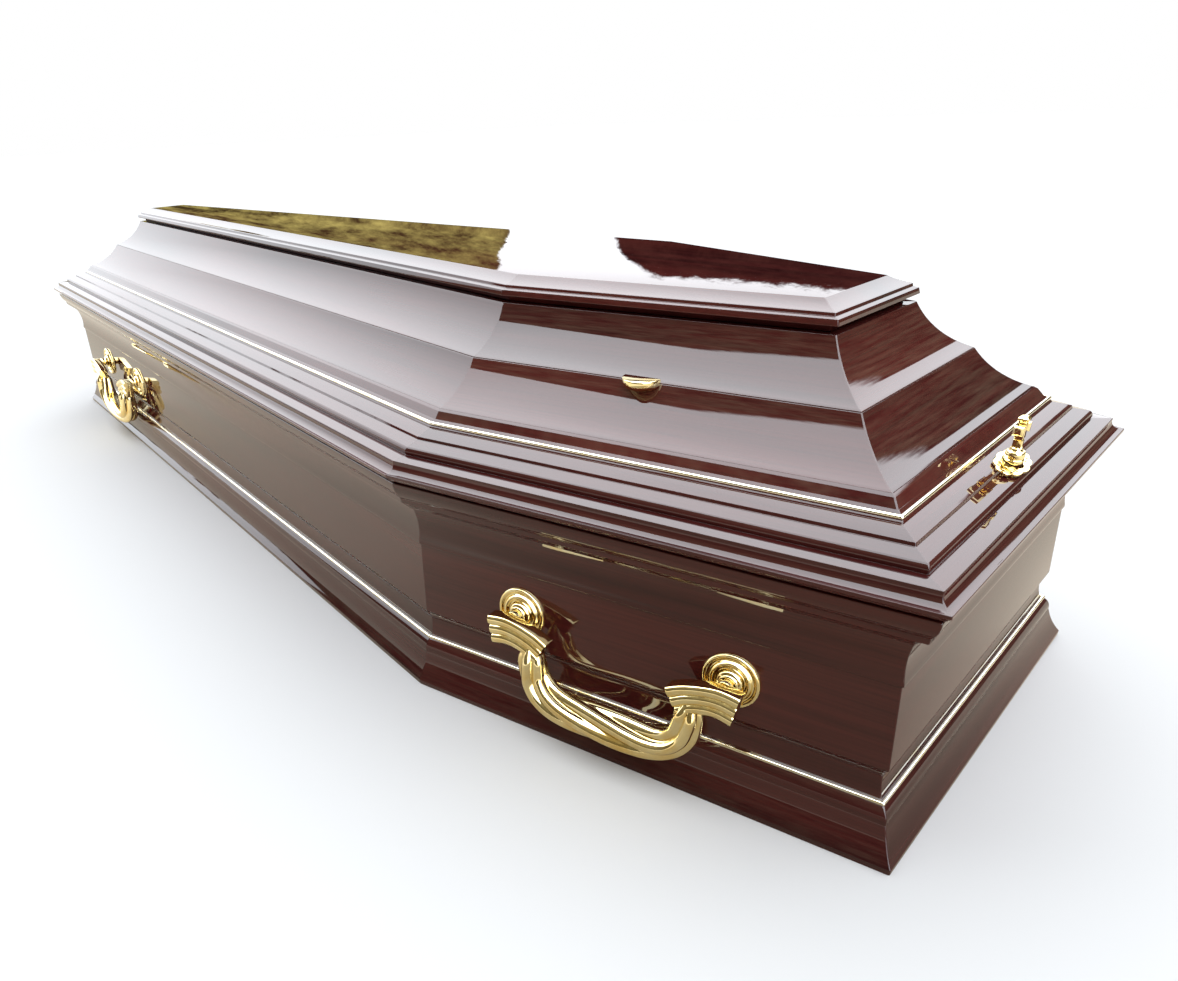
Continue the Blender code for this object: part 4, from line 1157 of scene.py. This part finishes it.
# Lid screws: a pierced cast plate at head and foot, and a screw whose head carries a small cross.
# The foot one is not seen in the photograph and repeats the head one.
SCREW_OUT = -0.0460
PLATE_HALF_LENGTH = 0.0285
PLATE_HALF_WIDTH = 0.0145
PLATE_THICKNESS = 0.0020
PLATE_ROUNDING = 0.0004
PLATE_CLEARANCE = 0.0016
PLATE_SCALLOPS = 10
PLATE_SCALLOP_DEPTH = 0.10
SCREW_HOLE_CLEARANCE = 0.0014
SCREW_HEAD_RADIUS = 0.0080
SCREW_HEAD_HEIGHT = 0.0110
CROSS_ARM_Z = 0.0300
CROSS_TOP_Z = 0.0410
CROSS_HALF_SPAN = 0.0110
STEM_HALF = 0.0034
CROSS_END_HALF = 0.0042
CROSS_EASE = 0.0003
# Holes of the plate: distance across, distance along and radius, repeated at both ends
PLATE_PIERCINGS = (
    (0.0, 0.0235, 0.0017),
    (0.0, 0.0170, 0.0016),
    (0.0062, 0.0190, 0.0013),
    (-0.0062, 0.0190, 0.0013),
    (0.0075, 0.0125, 0.0012),
    (-0.0075, 0.0125, 0.0012),
)


def round_ring(across, along, radius, steps):
    turns = [math.tau * step / steps for step in range(steps)]
    return [(across + radius * math.cos(t), along + radius * math.sin(t)) for t in turns]


def pierced_plate_mesh():
    outline = []
    steps = 12 * PLATE_SCALLOPS
    for step in range(steps):
        angle = math.tau * step / steps
        swell = 1 - PLATE_SCALLOP_DEPTH * (1 - abs(math.cos(PLATE_SCALLOPS * angle / 2)))
        outline.append((
            PLATE_HALF_WIDTH * swell * math.cos(angle),
            PLATE_HALF_LENGTH * swell * math.sin(angle),
        ))
    rings = [outline, round_ring(0.0, 0.0, SCREW_HEAD_RADIUS + SCREW_HOLE_CLEARANCE, 48)]
    for end in (1, -1):
        rings += [round_ring(x, end * y, radius, 16) for x, y, radius in PLATE_PIERCINGS]
    shape = bpy.data.curves.new("plate", "CURVE")
    shape.dimensions = "2D"
    shape.fill_mode = "BOTH"
    shape.bevel_depth = PLATE_ROUNDING
    shape.bevel_resolution = 2
    shape.extrude = PLATE_THICKNESS / 2 - PLATE_ROUNDING
    shape.offset = -PLATE_ROUNDING
    for ring in rings:
        add_line(shape, [(x, y, 0.0) for x, y in ring], closed=True)
    carrier = placed("plate", shape)
    return worked_mesh(carrier, [carrier])


# Four-sided bar with stepped sides, built of square rings
def square_bar(rings):
    square = ((-1, -1), (1, -1), (1, 1), (-1, 1))
    return stacked_mesh([[(x * half, y * half, height) for x, y in square] for half, height in rings])


def cross_screw_mesh():
    top = SCREW_HEAD_HEIGHT
    drum = turned_mesh([
        (0.0, 0.0), (0.0080, 0.0), (0.0080, 0.0030), (0.0074, 0.0036), (0.0074, 0.0046),
        (0.0080, 0.0052), (0.0080, top - 0.0030), (0.0077, top - 0.0016), (0.0070, top - 0.0007),
        (0.0058, top - 0.0004), (0.0052, top + 0.0004), (0.0048, top + 0.0020), (0.0040, top + 0.0028),
        (0.0, top + 0.0028),
    ], 64)
    half, end = STEM_HALF, CROSS_END_HALF
    stem = square_bar([
        (half, top), (half, CROSS_ARM_Z - 0.0100), (half * 0.86, CROSS_ARM_Z - 0.0094),
        (half * 0.86, CROSS_ARM_Z - 0.0084), (half, CROSS_ARM_Z - 0.0078), (half * 0.92, CROSS_ARM_Z),
        (half, CROSS_TOP_Z - 0.0050), (end, CROSS_TOP_Z - 0.0036), (end, CROSS_TOP_Z - 0.0018),
        (half * 0.7, CROSS_TOP_Z),
    ])
    reach = CROSS_HALF_SPAN
    arms = square_bar([
        (half * 0.7, -reach), (end, -reach + 0.0018), (end, -reach + 0.0036),
        (half * 0.9, -reach + 0.0050), (half * 0.9, reach - 0.0050), (end, reach - 0.0036),
        (end, reach - 0.0018), (half * 0.7, reach),
    ])
    lying = Matrix.Rotation(math.radians(90.0), 4, "X")
    arms.transform(Matrix.Translation((0.0, 0.0, CROSS_ARM_Z)) @ lying)
    return combined_mesh(drum, (stem, arms), "UNION", "EXACT", 30.0, CROSS_EASE, 2)


plate_mesh = pierced_plate_mesh()
screw_mesh = cross_screw_mesh()
rise = math.atan2(UPPER_BAND_END[1] - OVOLO_TOP[1], OVOLO_TOP[0] - UPPER_BAND_END[0])
plate_seat = OVOLO_TOP[1] + (OVOLO_TOP[0] - SCREW_OUT) * math.tan(rise)
plate_lift = plate_seat + (PLATE_CLEARANCE + PLATE_THICKNESS / 2) / math.cos(rise)
band_slope = (UPPER_BAND_END[1] - BAND_STEP[1]) / (BAND_STEP[0] - UPPER_BAND_END[0])
screw_edge = SCREW_OUT - SCREW_HEAD_RADIUS
screw_seat = BAND_STEP[1] + max(0.0, BAND_STEP[0] - screw_edge) * band_slope + JOINT_GAP
for label, sign in (("head", 1), ("foot", -1)):
    mesh = plate_mesh.copy()
    place = Matrix.Translation((sign * (LENGTH / 2 + SCREW_OUT), 0.0, plate_lift))
    mesh.transform(place @ Matrix.Rotation(sign * rise, 4, "Y"))
    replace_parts(gilt_piece("pierced_plate_" + label, mesh), "screw_plate_" + label)
    mesh = screw_mesh.copy()
    mesh.transform(Matrix.Translation((sign * (LENGTH / 2 + SCREW_OUT), 0.0, screw_seat)))
    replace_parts(gilt_piece("cross_on_screw_" + label, mesh), "cross_screw_" + label)
